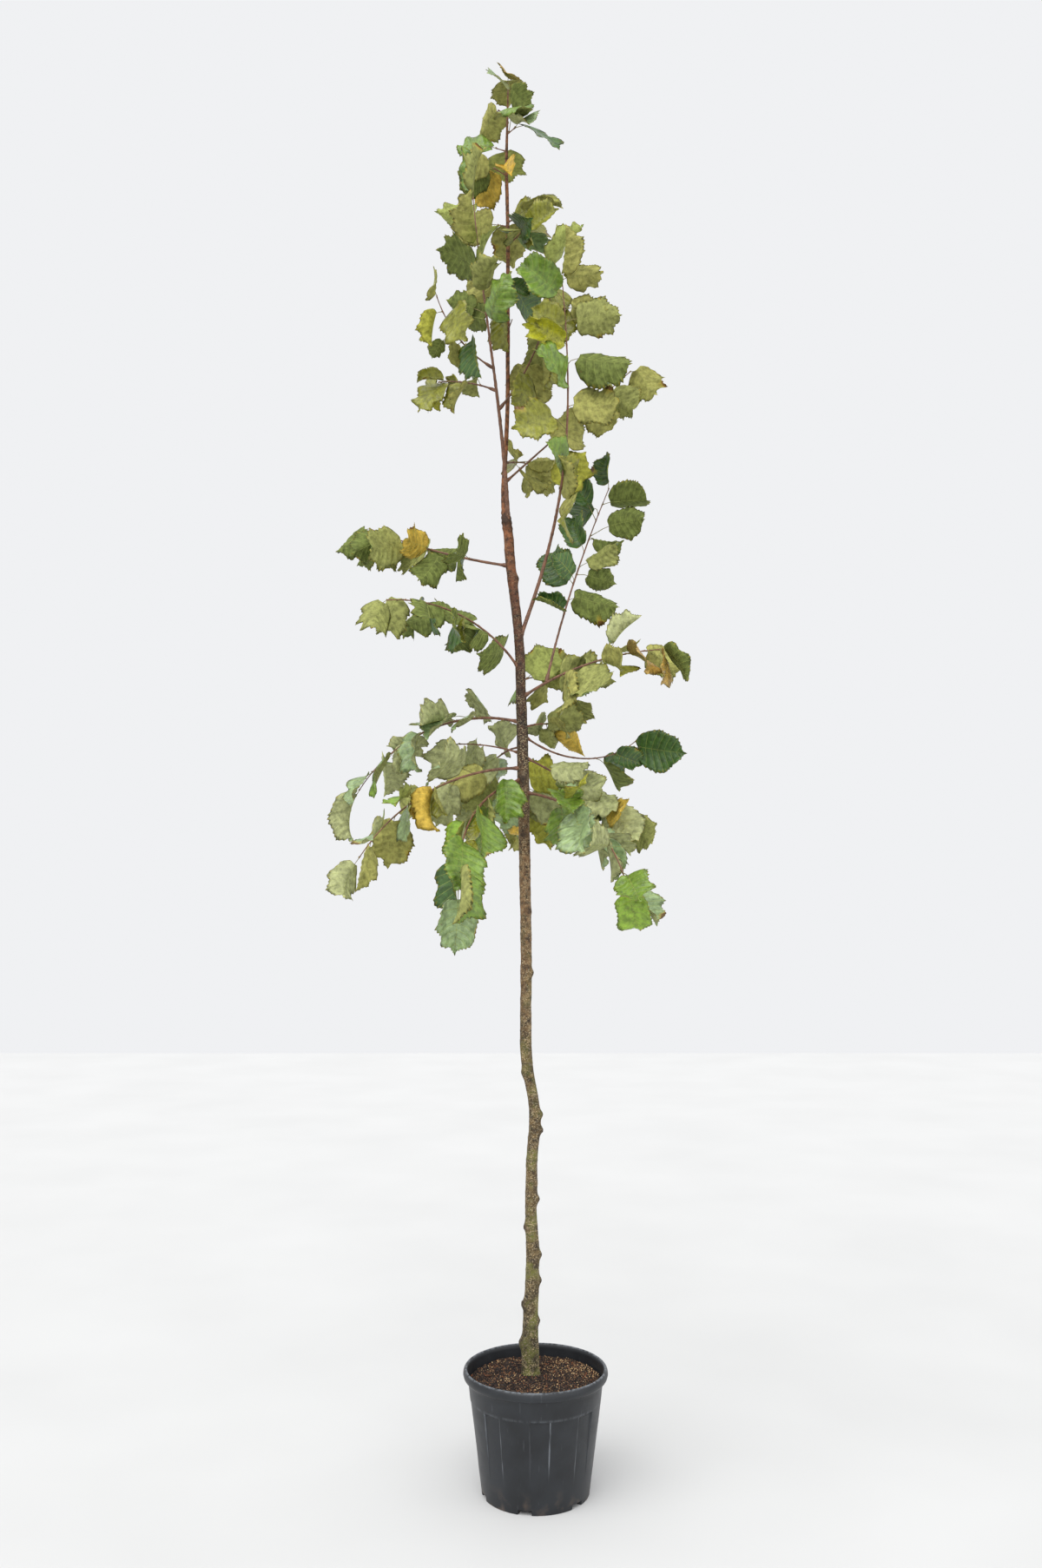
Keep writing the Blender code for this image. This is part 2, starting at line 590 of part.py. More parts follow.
def catkin_solid(name, points):
    """A catkin: a short thin stalk and a blunt cylinder, with level rings."""
    around = np.array([(1, 0, 0), (0, 1, 0), (-1, 0, 0), (0, -1, 0)])
    rings = [middle + radius * around for middle, radius in zip(points, CATKIN_RADII)]
    return solid(name, rings, leaf_green)


def make_mass(name):
    """A mass of foliage: its stem, with its leaves and catkins fused on."""
    shoot = SHOOTS[name]
    first = round(shoot.bare / STEP)
    mass = limb(f"foliage_{name}", name, first, len(ROUTES[name]) - 1, 0.0, leaf_green)
    chance = random.Random(shoot.seed)
    leaves = grow_leaves(name, chance)
    catkins = grow_catkins(name, chance, leaves)
    pieces = [leaf_solid(f"leaf_{i}", leaf) for i, leaf in enumerate(leaves)]
    pieces += [catkin_solid(f"catkin_{i}", points) for i, points in enumerate(catkins)]
    combine(mass, "UNION", pieces)
    if shoot.bare == 0 and shoot.spring < COURSE[-1, 2]:
        combine(mass, "DIFFERENCE", [solid("bearer", trunk_rings(GAP), bark)])


def make_bough(name):
    """A shoot's bare part, ending flat where its mass begins and cut clear of what bears it."""
    shoot = SHOOTS[name]
    bough = limb(f"bough_{name}", name, 0, round(shoot.bare / STEP), 0.0, young_bark)
    if shoot.parent == "trunk":
        bearer = solid("bearer", trunk_rings(GAP), bark)
    else:
        bearer = limb("bearer", shoot.parent, 0, round(SHOOTS[shoot.parent].bare / STEP), GAP, bark)
    combine(bough, "DIFFERENCE", [bearer])


for old in list(bpy.data.objects):
    bpy.data.objects.remove(old)

plastic = new_material("black_plastic", (0.045, 0.048, 0.052), 0.45)
compost = new_material("compost", (0.085, 0.047, 0.024), 0.95)
bark = new_material("old_bark", (0.17, 0.135, 0.095), 0.85)
young_bark = new_material("young_bark", (0.115, 0.058, 0.035), 0.6)
leaf_green = new_material("hazel_leaf", (0.10, 0.17, 0.045), 0.55)

COURSE = trunk_course()
ROUTES = shoot_routes()
make_pot()
make_soil()
solid("trunk", trunk_rings(0.0), bark)
for shoot_name in SHOOTS:
    if SHOOTS[shoot_name].bare > 0:
        make_bough(shoot_name)
    make_mass(shoot_name)
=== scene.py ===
"""Looks of the potted common hazel tree: bark, leaves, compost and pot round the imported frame."""

import json
import math
import random
from collections import namedtuple
from itertools import permutations

import bpy
import numpy as np
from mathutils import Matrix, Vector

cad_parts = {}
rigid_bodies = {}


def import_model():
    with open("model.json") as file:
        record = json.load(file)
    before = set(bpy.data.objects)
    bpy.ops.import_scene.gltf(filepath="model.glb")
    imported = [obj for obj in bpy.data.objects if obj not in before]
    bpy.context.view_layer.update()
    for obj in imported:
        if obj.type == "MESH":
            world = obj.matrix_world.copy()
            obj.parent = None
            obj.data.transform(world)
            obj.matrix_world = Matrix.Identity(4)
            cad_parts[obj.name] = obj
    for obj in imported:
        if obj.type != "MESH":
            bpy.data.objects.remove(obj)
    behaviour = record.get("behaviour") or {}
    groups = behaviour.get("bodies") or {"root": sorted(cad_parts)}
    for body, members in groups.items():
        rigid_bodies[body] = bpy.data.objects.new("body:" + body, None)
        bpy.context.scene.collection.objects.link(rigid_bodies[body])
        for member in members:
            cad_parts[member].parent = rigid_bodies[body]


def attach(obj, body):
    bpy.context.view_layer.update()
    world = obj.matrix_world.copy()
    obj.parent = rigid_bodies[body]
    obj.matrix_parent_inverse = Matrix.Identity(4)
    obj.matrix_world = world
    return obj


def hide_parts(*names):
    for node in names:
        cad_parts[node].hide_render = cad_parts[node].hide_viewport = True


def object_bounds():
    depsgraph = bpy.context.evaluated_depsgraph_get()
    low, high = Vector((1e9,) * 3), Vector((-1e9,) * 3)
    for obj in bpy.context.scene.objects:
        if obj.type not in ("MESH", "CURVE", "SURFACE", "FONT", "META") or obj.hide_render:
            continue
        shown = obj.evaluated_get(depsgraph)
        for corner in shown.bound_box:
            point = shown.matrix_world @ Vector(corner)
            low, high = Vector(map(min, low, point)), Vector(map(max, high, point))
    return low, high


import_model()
cad_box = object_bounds()


# Camera, floor and light
# The tree stands in front of the camera in even daylight, on a plain pale
# floor under a pale sky.  The camera is 1.5 m up, 3.4 m off, and looks up a
# little, as the photograph does.

CAMERA_PLACE = (-0.0368, -3.4147, 1.4969)
CAMERA_RISE = math.radians(4.80)
CAMERA_LENS = 29.92
FLOOR_HALF = 9.0
# Each sun's name, heading, rise and spread in degrees, and strength.
SUNS = (("key", -32, 50, 60, 1.9), ("fill", 40, 24, 80, 0.9))


def linear(code, share=1.0):
    """An sRGB hex colour as linear red, green and blue, each times the share, and alpha one."""
    srgb = np.array([int(code[i:i + 2], 16) for i in (0, 2, 4)]) / 255
    light = np.where(srgb <= 0.04045, srgb / 12.92, ((srgb + 0.055) / 1.055) ** 2.4)
    return (*(light * share).tolist(), 1.0)


def plug(node, tree, inputs):
    """Each named input of a node is linked to the output given for it, or set to the value."""
    for name, value in inputs.items():
        if isinstance(value, bpy.types.NodeSocket):
            tree.links.new(value, node.inputs[name])
        else:
            node.inputs[name].default_value = value


def add_node(tree, kind, inputs=None, stops=(), out=None, **settings):
    """One node with its settings, inputs and colour stops; it gives the output named, or its first."""
    node = tree.nodes.new("ShaderNode" + kind)
    for name, value in settings.items():
        setattr(node, name, value)
    plug(node, tree, inputs or {})
    for i, (place, *colour) in enumerate(stops):
        ramp = node.color_ramp.elements
        stop = ramp[i] if i < 2 else ramp.new(place)
        stop.position = place
        stop.color = linear(*colour)
    return node.outputs[out] if out else next(socket for socket in node.outputs if socket.enabled)


def cells(size):
    """A pattern's scale from the size of one of its cells in millimetres: cells to the metre."""
    return 1000 / size


def new_finish(name):
    """An empty Principled finish: the material, its tree and Object coordinates."""
    finish = bpy.data.materials.new(name)
    finish.use_nodes = True
    tree = finish.node_tree
    return finish, tree, add_node(tree, "TexCoord", out="Object")


def finished(finish, inputs):
    """The finish once its shader's inputs are linked or set."""
    tree = finish.node_tree
    plug(tree.nodes["Principled BSDF"], tree, inputs)
    return finish


def floor_paint():
    """Pale matt paint: an even light grey, a shade lighter in wide soft patches."""
    finish, tree, place = new_finish("pale_floor")
    patches = add_node(tree, "TexNoise", {"Vector": place, "Scale": cells(650)})
    shade = add_node(tree, "ValToRGB", {"Fac": patches}, ((0.3, "cdcdcc"), (0.7, "d1d1d0")))
    return finished(finish, {"Base Color": shade, "Roughness": 0.85})


bpy.ops.mesh.primitive_plane_add(size=2 * FLOOR_HALF)
floor = bpy.context.object
floor.name = "floor"
floor.data.materials.append(floor_paint())

sky = bpy.data.worlds.new("sky")
sky.use_nodes = True
plug(sky.node_tree.nodes["Background"], sky.node_tree, {"Color": linear("f1f2f4"), "Strength": 0.99})
bpy.context.scene.world = sky
bpy.context.scene.view_settings.view_transform = "Standard"

for sun, heading, rise, spread, strength in SUNS:
    lamp = bpy.data.lights.new(sun, "SUN")
    lamp.angle = math.radians(spread)
    lamp.energy = strength
    holder = bpy.data.objects.new(sun, lamp)
    holder.rotation_euler = (math.radians(90 - rise), 0, math.radians(heading))
    bpy.context.scene.collection.objects.link(holder)

lens = bpy.data.cameras.new("camera")
lens.lens = CAMERA_LENS
camera = bpy.data.objects.new("camera", lens)
camera.location = CAMERA_PLACE
camera.rotation_euler = (math.pi / 2 + CAMERA_RISE, 0, 0)
bpy.context.scene.collection.objects.link(camera)
bpy.context.scene.camera = camera


# Pot
# A 25 litre nursery pot of black recycled polypropylene, injection moulded:
# a cone with a smooth collar and a rolled lip, eight shallow flutes that fade
# out downwards, and six drain notches round its foot.

POT_HEIGHT = 0.302
POT_BASE_RADIUS = 0.1353
FOOT_ROUND = 0.0012
COLLAR_HEIGHT = 0.228
COLLAR_RADIUS = 0.1655
SHOULDER = 0.004
LIP_HEIGHT = 0.277
LIP_FOOT_RADIUS = 0.1709
LIP_RADIUS = 0.1833
LIP_EDGE = ((0.0114, 0.0), (0.004, 0.0015), (0.0018, 0.0045))
MOUTH_HEIGHT = 0.288
MOUTH_RADIUS = 0.1708
WALL = 0.0022
POT_FLOOR = 0.003
FLOOR_MIDDLE = 0.04
POT_COLUMNS = 720
FLUTES = 8
FLUTE_TURN = math.radians(-87)
FLUTE_EDGE = math.radians(8.5)
FLUTE_SOFT = math.radians(1.2)
FLUTE_DEPTH = 0.004
FLUTE_FOOT = 0.06
NOTCHES = 6
NOTCH_TURN = math.radians(-102)
NOTCH_WIDTH = 0.033
NOTCH_HEIGHT = 0.011
NOTCH_DEPTH = 0.020
NOTCH_SOFT = (0.0016, 0.0012)
# Heights of the rows of points up the outside: they stand close together
# round the tops of the notches and the shoulder of the collar.
WALL_ROWS = (0.0008, 0.0025, 0.006, 0.0098, 0.0104, 0.011, 0.0116, 0.0125,
             *np.linspace(0.016, 0.222, 24), 0.2242, 0.2254, 0.2268, 0.2282, 0.2300,
             *np.linspace(0.235, LIP_HEIGHT - 0.001, 5))
INSIDE_ROWS = WALL_ROWS[6:-3]
LIP_ROWS = 17
WORN_OFF = math.radians(0.3)
WORN_WIDTH = math.radians(0.40)
WORN_LEAST = 0.15
WORN_FOOT, WORN_FADE = 0.07, 0.05
SEAM_WEAR, SEAM_OFF, SEAM_WIDTH = 0.22, 0.0015, 0.0018
# The lip's crown is painted pale as a painted highlight: how pale, and how far down it reaches.
CROWN_HIGHLIGHT, CROWN_DEPTH = 0.8, 0.0035


def eased(share):
    """A share held between 0 and 1, with a smooth start and end."""
    held = np.clip(share, 0, 1)
    return held * held * (3 - 2 * held)


def off_nearest(place, first, gap):
    """How far a place is from the nearest of those that follow the first at an even gap."""
    return (place - first + gap / 2) % gap - gap / 2


def bell(distance):
    """One at distance 0, falling off like a bell to a third at distance 1."""
    return np.exp(-distance ** 2)


def lattice_noise(x, y, seed, period=64):
    """Noise from -1 to 1: seeded values at whole x and y, eased between; x repeats."""
    lattice = np.random.default_rng(seed).uniform(-1, 1, (64, 64))
    i = np.floor(x).astype(int)
    j = np.floor(y).astype(int)
    across = eased(x - i)
    up = eased(y - j)
    corners = [[lattice[(i + di) % period % 64, (j + dj) % 64] for dj in (0, 1)] for di in (0, 1)]
    low = corners[0][0] * (1 - across) + corners[1][0] * across
    high = corners[0][1] * (1 - across) + corners[1][1] * across
    return low * (1 - up) + high * up


def wall_radius(height):
    """The radius by height: the cone of the wall, the steeper collar, and out to the mouth."""
    heights = (0, COLLAR_HEIGHT, LIP_HEIGHT, MOUTH_HEIGHT)
    radii = (POT_BASE_RADIUS, COLLAR_RADIUS, LIP_FOOT_RADIUS, MOUTH_RADIUS + WALL)
    return np.interp(height, heights, radii)


def wall_hollow(angle, height):
    """How far the wall steps in: at a flute, fading downwards, and at a drain notch."""
    beside = np.abs(off_nearest(angle, FLUTE_TURN, math.tau / FLUTES))
    flute = eased((FLUTE_EDGE - beside) / FLUTE_SOFT + 0.5)
    fade = np.clip((height - FLUTE_FOOT) / (COLLAR_HEIGHT - FLUTE_FOOT), 0, 1)
    below = eased((COLLAR_HEIGHT - height) / SHOULDER)
    aside = np.abs(off_nearest(angle, NOTCH_TURN, math.tau / NOTCHES)) * POT_BASE_RADIUS
    notch = eased((NOTCH_WIDTH / 2 - aside) / NOTCH_SOFT[0] + 0.5)
    notch = notch * eased((NOTCH_HEIGHT - height) / NOTCH_SOFT[1] + 0.5)
    return FLUTE_DEPTH * flute * fade * below + NOTCH_DEPTH * notch


def ring(angle, out, z):
    """Points round the upright axis: at each angle, the radius and the height given."""
    return np.stack([out * np.cos(angle), out * np.sin(angle), z + 0 * angle], 1)


def skin(rings, tip=None, crossed=False):
    """A closed surface over rings of points (rows, columns, 3), with a fan over each end.

    The fans meet at the middle of their ring, or the last one at the tip.
    Each field between two rings is two faces, in the crossed columns split
    along the other diagonal.
    """
    rows, columns = rings.shape[:2]
    here = np.arange(rows * columns).reshape(rows, columns)
    beside = np.roll(here, -1, 1)
    a, b, c, d = here[:-1], beside[:-1], beside[1:], here[1:]
    first = np.full(columns, rows * columns)
    faces = [np.stack(three, -1).reshape(-1, 3) for three in (
        (a, b, np.where(crossed, d, c)), (np.where(crossed, b, a), c, d),
        (first, beside[0], here[0]), (first + 1, here[-1], beside[-1]))]
    end = rings[-1].mean(0) if tip is None else tip
    points = np.vstack([rings.reshape(-1, 3), rings[0].mean(0), end])
    return points, np.vstack(faces)


def new_piece(name, surface, finishes, kinds=None, **marks):
    """A smooth mesh from arrays: kinds gives each face its finish, a mark each point its value."""
    points, faces = surface
    mesh = bpy.data.meshes.new(name)
    mesh.vertices.add(len(points))
    mesh.vertices.foreach_set("co", np.asarray(points, np.float32).ravel())
    mesh.loops.add(faces.size)
    mesh.polygons.add(len(faces))
    mesh.polygons.foreach_set("loop_start", np.arange(0, faces.size, 3, dtype=np.int32))
    mesh.polygons.foreach_set("vertices", faces.astype(np.int32).ravel())
    if kinds is not None:
        mesh.polygons.foreach_set("material_index", np.asarray(kinds, np.int32))
    mesh.update(calc_edges=True)
    mesh.shade_smooth()
    for mark, values in marks.items():
        layer = mesh.attributes.new(mark, "FLOAT", "POINT")
        layer.data.foreach_set("value", values.astype(np.float32))
    for finish in finishes:
        mesh.materials.append(finish)
    piece = bpy.data.objects.new(name, mesh)
    bpy.context.scene.collection.objects.link(piece)
    return piece


def layered(tree, colour, layers):
    """Colours laid one over another, each covering what is under it by the product of its shares.

    A share is a pattern's value, read from 0 at one level of it to 1 at
    another, or between the last two numbers where it has them.
    """
    reading = ("Value", "From Min", "From Max", "To Min", "To Max")
    for code, *shares in layers:
        cover = 1.0
        for share in shares:
            read = add_node(tree, "MapRange", dict(zip(reading, share)))
            cover = add_node(tree, "Math", {0: cover, 1: read}, operation="MULTIPLY")
        colour = add_node(tree, "Mix", {"Factor": cover, "A": colour, "B": linear(code)}, data_type="RGBA")
    return colour


def pot_surface():
    """Rings up the outside, over the lip and down the inside: radius by height and angle."""
    angle = np.arange(POT_COLUMNS) * math.tau / POT_COLUMNS
    rows = [(FLOOR_MIDDLE, 0.0), (POT_BASE_RADIUS - FOOT_ROUND - wall_hollow(angle, 0.0), 0.0)]
    rows += [(wall_radius(z) - wall_hollow(angle, z), z) for z in WALL_ROWS]
    rows += [(LIP_RADIUS - inwards, LIP_HEIGHT + up) for inwards, up in LIP_EDGE]
    middle = (LIP_RADIUS + MOUTH_RADIUS) / 2
    for turn in np.linspace(0, math.pi, LIP_ROWS):
        up = (POT_HEIGHT - MOUTH_HEIGHT) * math.sin(turn)
        rows.append((middle + (LIP_RADIUS - middle) * math.cos(turn), MOUTH_HEIGHT + up))
    for z in reversed(INSIDE_ROWS):
        rows.append((wall_radius(z) - WALL - wall_hollow(angle, z - WALL), z))
    rows.append((wall_radius(POT_FLOOR) - WALL - wall_hollow(angle, 0.0), POT_FLOOR))
    rows.append((FLOOR_MIDDLE, POT_FLOOR))
    return skin(np.stack([ring(angle, out, z) for out, z in rows]))


def pot_wear_and_highlight(points):
    """How worn each point is, and where a highlight is painted on the lip.

    Bells run beside the flutes' edges, broken by noise and eased out at both
    ends, and along the collar's shoulder, as wear; the lip's crown is painted
    pale all over as a painted highlight.
    """
    angle = np.arctan2(points[:, 1], points[:, 0])
    height = points[:, 2]
    beside = np.abs(off_nearest(angle, FLUTE_TURN, math.tau / FLUTES)) - FLUTE_EDGE
    edge = bell((beside - WORN_OFF) / WORN_WIDTH)
    broken = eased(lattice_noise(angle * 8 + 40, height * 4, 31) + 0.5)
    edge *= WORN_LEAST + (1 - WORN_LEAST) * broken
    edge *= eased((height - WORN_FOOT) / WORN_FADE) * eased((COLLAR_HEIGHT - height) / 0.002)
    seam = SEAM_WEAR * bell((height - COLLAR_HEIGHT - SEAM_OFF) / SEAM_WIDTH)
    crown = CROWN_HIGHLIGHT * eased((height - POT_HEIGHT + CROWN_DEPTH) / CROWN_DEPTH)
    return np.maximum(np.maximum(edge, seam), crown)


def moulded_plastic():
    """Polypropylene blackened with soot, from a smooth mould.

    The eye sees a charcoal satin, scuffed paler in upright streaks where it
    is rubbed, with dry earth low down, and a painted highlight along the crown
    of the lip.  The mould's grain of 0.3 mm is drawn at 2.4 mm, so that it
    breaks the gleam.
    """
    finish, tree, place = new_finish("moulded_polypropylene")
    height = add_node(tree, "SeparateXYZ", {"Vector": place}, out="Z")
    # The wear mark: scuffs beside the flutes and on the collar's shoulder, and a painted highlight on the
    # lip's crown.
    worn = add_node(tree, "Attribute", out="Fac", attribute_name="wear")
    cloud = add_node(tree, "TexNoise", {"Vector": place, "Scale": cells(70), "Detail": 5})
    upright = add_node(tree, "Mapping", {"Vector": place, "Scale": (cells(8), cells(8), cells(110))})
    scuffs = add_node(tree, "TexNoise", {"Vector": upright, "Scale": 1, "Detail": 4})
    dust = add_node(tree, "TexNoise", {"Vector": place, "Scale": cells(33), "Detail": 6})
    grain = add_node(tree, "TexNoise", {"Vector": place, "Scale": cells(2.4)})
    base = add_node(tree, "ValToRGB", {"Fac": cloud}, ((0.35, "1b1d20"), (0.70, "26292d")))
    return finished(finish, {
        "Base Color": layered(tree, base, (
            ("787d83", (worn,), (scuffs, 0.38, 0.62)),
            ("5d6166", (scuffs, 0.66, 0.80, 0, 0.35)),
            ("5f5043", (height, 0.06, 0, 0, 0.7), (dust, 0.52, 0.72)),
        )),
        "Specular IOR Level": 0.4,
        "Roughness": add_node(tree, "MapRange", {"Value": dust, "To Min": 0.30, "To Max": 0.52}),
        "Normal": add_node(tree, "Bump", {"Height": grain, "Strength": 0.10, "Distance": 0.0005}),
    })


pot_shell = pot_surface()
# Its wear mark carries the scuffs and the painted highlight on the lip's crown.
pot = new_piece("nursery_pot", pot_shell, [moulded_plastic()], wear=pot_wear_and_highlight(pot_shell[0]))
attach(pot, "root")
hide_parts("pot")


# Compost
# The pot is filled to 3 cm under its rim with a mix of peat and crumbled
# bark, spread loose by hand: a dark uneven bed covered in crumbs 2 to 8 mm
# long in browns, tan and orange.

SOIL_TOP = 0.273
SOIL_RADIUS = 0.1665
SOIL_DIP = 0.0015
# Rise, cells to the metre, start in the noise and seed: gentle waves, and
# finer lumps.
SOIL_WAVES = ((0.0022, 22, 30, 5), (0.0013, 150, 60, 6))
FOOT_RISE, FOOT_REACH = 0.003, 0.04
# The trunk's foot: x, y and radius.
TRUNK_FOOT = (-0.0105, 0.034, 0.021)
BED_COLUMNS = 160
# Height and radius of the rings under the bed's top, from its floor up.
BED_FOOT = ((POT_FLOOR + 0.001, 0.03), (0.0145, 0.10), (0.0150, 0.128), (0.20, 0.1515),
            (0.262, SOIL_RADIUS - 0.001))
CRUMBS = 9000
CRUMB_HALF = (0.0010, 0.0028)
CRUMB_STRETCH = ((1.0, 0.6, 0.35), (1.5, 0.9, 0.6))
CRUMB_DENTS = (0.75, 1.2)
CRUMB_LIFT = (-0.0006, 0.0016)
CRUMB_REACH = 0.985
FOOT_CLEAR = 0.0015
# Each kind's colour and its share of the crumbs.
CRUMB_COLOURS = {
    "peat": ("1c130f", 0.45), "bark_brown": ("40291b", 0.25), "bark_tan": ("7d6043", 0.16),
    "bark_orange": ("7f4d2f", 0.06), "bark_pale": ("b8996f", 0.08),
}


def from_foot(x, y):
    """How far a place on the bed is from the middle of the trunk's foot."""
    return np.hypot(x - TRUNK_FOOT[0], y - TRUNK_FOOT[1])


def soil_height(x, y):
    """The bed's level: noise for gentle waves and finer lumps, and a low bell at the trunk."""
    level = SOIL_TOP - SOIL_DIP
    for rise, scale, start, seed in SOIL_WAVES:
        level = level + rise * lattice_noise(x * scale + start, y * scale + start, seed)
    return level + FOOT_RISE * bell(from_foot(x, y) / FOOT_REACH)


def bed_surface():
    """The filling: rings up along the pot's wall, and in over its top by the bed's level."""
    angle = np.arange(BED_COLUMNS) * math.tau / BED_COLUMNS
    rings = [ring(angle, out, z) for z, out in BED_FOOT]
    for out in np.linspace(SOIL_RADIUS, 0.004, 60):
        rings.append(ring(angle, out, soil_height(out * np.cos(angle), out * np.sin(angle))))
    return skin(np.stack(rings))


def crumbs(chance, count):
    """Crumbs as icosahedra, each stretched, dented, turned and let down on the bed.

    An icosahedron's corners are those of three golden rectangles, each
    upright to the others, and its sides are all threes of corners that lie
    near each other, in the turn that faces outwards.
    """
    golden = (1 + math.sqrt(5)) / 2
    corner = np.array([np.roll((short, long * golden, 0), k)
                       for k in range(3) for long in (1, -1) for short in (-1, 1)]) / 1.9
    near = corner @ corner.T > 0
    sides = np.array([(a, b, c) for a, b, c in permutations(range(12), 3)
                      if a < min(b, c) and near[a, b] and near[b, c] and near[c, a]
                      and np.linalg.det(corner[[a, b, c]]) > 0])
    size = chance.uniform(*CRUMB_HALF, (count, 1, 1)) * chance.uniform(*CRUMB_STRETCH, (count, 1, 3))
    shape = corner * size * chance.uniform(*CRUMB_DENTS, (count, 12, 1))
    spin, _ = np.linalg.qr(chance.normal(size=(count, 3, 3)))
    spin *= np.sign(np.linalg.det(spin))[:, None, None]
    shape = np.einsum("cij,ckj->cki", spin, shape)
    out = SOIL_RADIUS * CRUMB_REACH * np.sqrt(chance.uniform(0, 1, count))
    turn = chance.uniform(0, math.tau, count)
    x, y = out * np.cos(turn), out * np.sin(turn)
    z = soil_height(x, y) + chance.uniform(*CRUMB_LIFT, count)
    keep = from_foot(x, y) > TRUNK_FOOT[2] + FOOT_CLEAR
    points = shape + np.stack([x, y, z], 1)[:, None]
    return points[keep], sides


def earth(name, code):
    """Bark crumb or peat, fibrous and damp.

    The eye sees a matt brown, a shade lighter and darker by turns.  Its
    fibres of 1 mm are drawn at 2.6 mm.
    """
    finish, tree, place = new_finish(name)
    fibres = add_node(tree, "TexNoise", {"Vector": place, "Scale": cells(2.6), "Detail": 3})
    return finished(finish, {
        "Base Color": add_node(tree, "ValToRGB", {"Fac": fibres}, ((0.3, code, 0.6), (0.7, code, 1.35))),
        "Roughness": 0.88,
        "Normal": add_node(tree, "Bump", {"Height": fibres, "Strength": 0.4, "Distance": 0.0006}),
    })


bed = new_piece("compost_bed", bed_surface(), [earth("damp_peat", "2c2018")])
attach(bed, "root")
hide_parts("soil")
grains, grain_sides = crumbs(np.random.default_rng(11), CRUMBS)
middles = grains.mean(1)
paler = 0.12 * lattice_noise(middles[:, 0] * 14 + 20, middles[:, 1] * 14 + 20, 13) + 0.5 * middles[:, 0]
deal = np.clip(np.random.default_rng(12).uniform(0, 1, len(grains)) + paler, 0, 0.9999)
shares = np.cumsum([0] + [share for _, share in CRUMB_COLOURS.values()])
for crumb_kind, low_share, high_share in zip(CRUMB_COLOURS, shares[:-1], shares[1:]):
    picked = grains[(deal >= low_share) & (deal < high_share)]
    numbers = (grain_sides + 12 * np.arange(len(picked))[:, None, None]).reshape(-1, 3)
    crumb_piece = new_piece(f"crumbs_{crumb_kind}", (picked.reshape(-1, 3), numbers),
                            [earth(crumb_kind, CRUMB_COLOURS[crumb_kind][0])])
    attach(crumb_piece, "root")


# Trunk
# A seven year old hazel stem, 45 mm thick at its swollen foot, that wavers
# up to the fork and thins into the leader.  Its bark is smooth and grey brown
# with pale lenticels, algae low down, and knobs where shoots were pruned.

STEP = 0.01
SWAY = 5
# Height, x, y and thickness.
TRUNK_SPOTS = (
    (0.273, -0.010, 0.034, 0.044),
    (0.340, -0.015, 0.034, 0.045),
    (0.420, -0.012, 0.034, 0.037),
    (0.580, -0.005, 0.034, 0.034),
    (0.660, -0.012, 0.033, 0.031),
    (0.840, -0.008, 0.033, 0.029),
    (0.925, 0.004, 0.033, 0.030),
    (1.000, -0.012, 0.033, 0.028),
    (1.075, -0.025, 0.032, 0.030),
    (1.350, -0.023, 0.032, 0.029),
    (1.700, -0.029, 0.031, 0.031),
    (1.900, -0.033, 0.031, 0.030),
    (2.170, -0.041, 0.030, 0.025),
    (2.380, -0.065, 0.030, 0.027),
    (2.480, -0.071, 0.030, 0.028),
    (2.530, -0.082, 0.032, 0.018),
    (2.600, -0.084, 0.034, 0.013),
    (2.800, -0.073, 0.034, 0.011),
    (3.300, -0.0725, 0.030, 0.0105),
    (3.500, -0.0775, 0.028, 0.009),
    (3.705, -0.073, 0.028, 0.004),
)
# Height, heading in degrees, how far it stands out, and its spread.
KNOBS = (
    (0.350, 185, 0.0080, 0.022),
    (0.405, 0, 0.0055, 0.015),
    (0.445, 170, 0.0065, 0.020),
    (0.505, 5, 0.0065, 0.015),
    (0.570, -10, 0.0065, 0.015),
    (0.640, 200, 0.0050, 0.016),
    (0.710, 0, 0.0080, 0.015),
    (0.885, -15, 0.0080, 0.015),
    (0.925, 10, 0.0070, 0.015),
    (1.030, 190, 0.0050, 0.020),
    (1.290, 0, 0.0065, 0.015),
    (1.450, -60, 0.0065, 0.015),
    (1.650, -100, 0.0065, 0.015),
    (1.800, -90, 0.0065, 0.020),
    (2.340, -20, 0.0050, 0.015),
    (2.500, -90, 0.0065, 0.020),
)
SCARS = (2, 5, 7, 11, 12, 13)
# Each ring of a scar, as a share of its spread and its lift off the knob.
SCAR_RINGS = ((1, -0.005), (1, -0.0016), (0.85, -0.0002), (0.65, -0.0004), (0.4, -0.0012), (0.1, -0.0014))
SCAR_WIDE, SCAR_TALL = 0.33, 0.40
GRAFT, GRAFT_REACH = 2.50, 0.035
GRAFT_RINGS, GRAFT_RISE, GRAFT_WIDTH = (2.478, 2.492, 2.507, 2.521), 0.0028, 0.005
YEAR_FIRST, YEAR_GAP, YEAR_RISE, YEAR_WIDTH = 0.31, 0.083, 0.0006, 0.0022
# Rise, cells round the trunk, cells to the metre, and seed.
RIBS = ((0.0009, 5, 24, 21), (0.0005, 14, 60, 22), (0.0003, 30, 170, 23))
LENTICEL_RISE = 0.0004
# How dark the bark is at the graft, the knobs and the rings of the years, the
# trunk's radius that the knobs' dark spots are measured on, and the rings'
# width.
GRAFT_DARK, KNOB_DARK, YEAR_DARK = 0.9, 0.75, 0.5
DARK_RADIUS = 0.016
YEAR_DARK_WIDTH = 0.0035
FLARE, FLARE_REACH = 0.003, 0.012
UP = np.array([0.0, 0.0, 1.0])
TRUNK_COLUMNS = 40
TRUNK_ROW = 0.0035


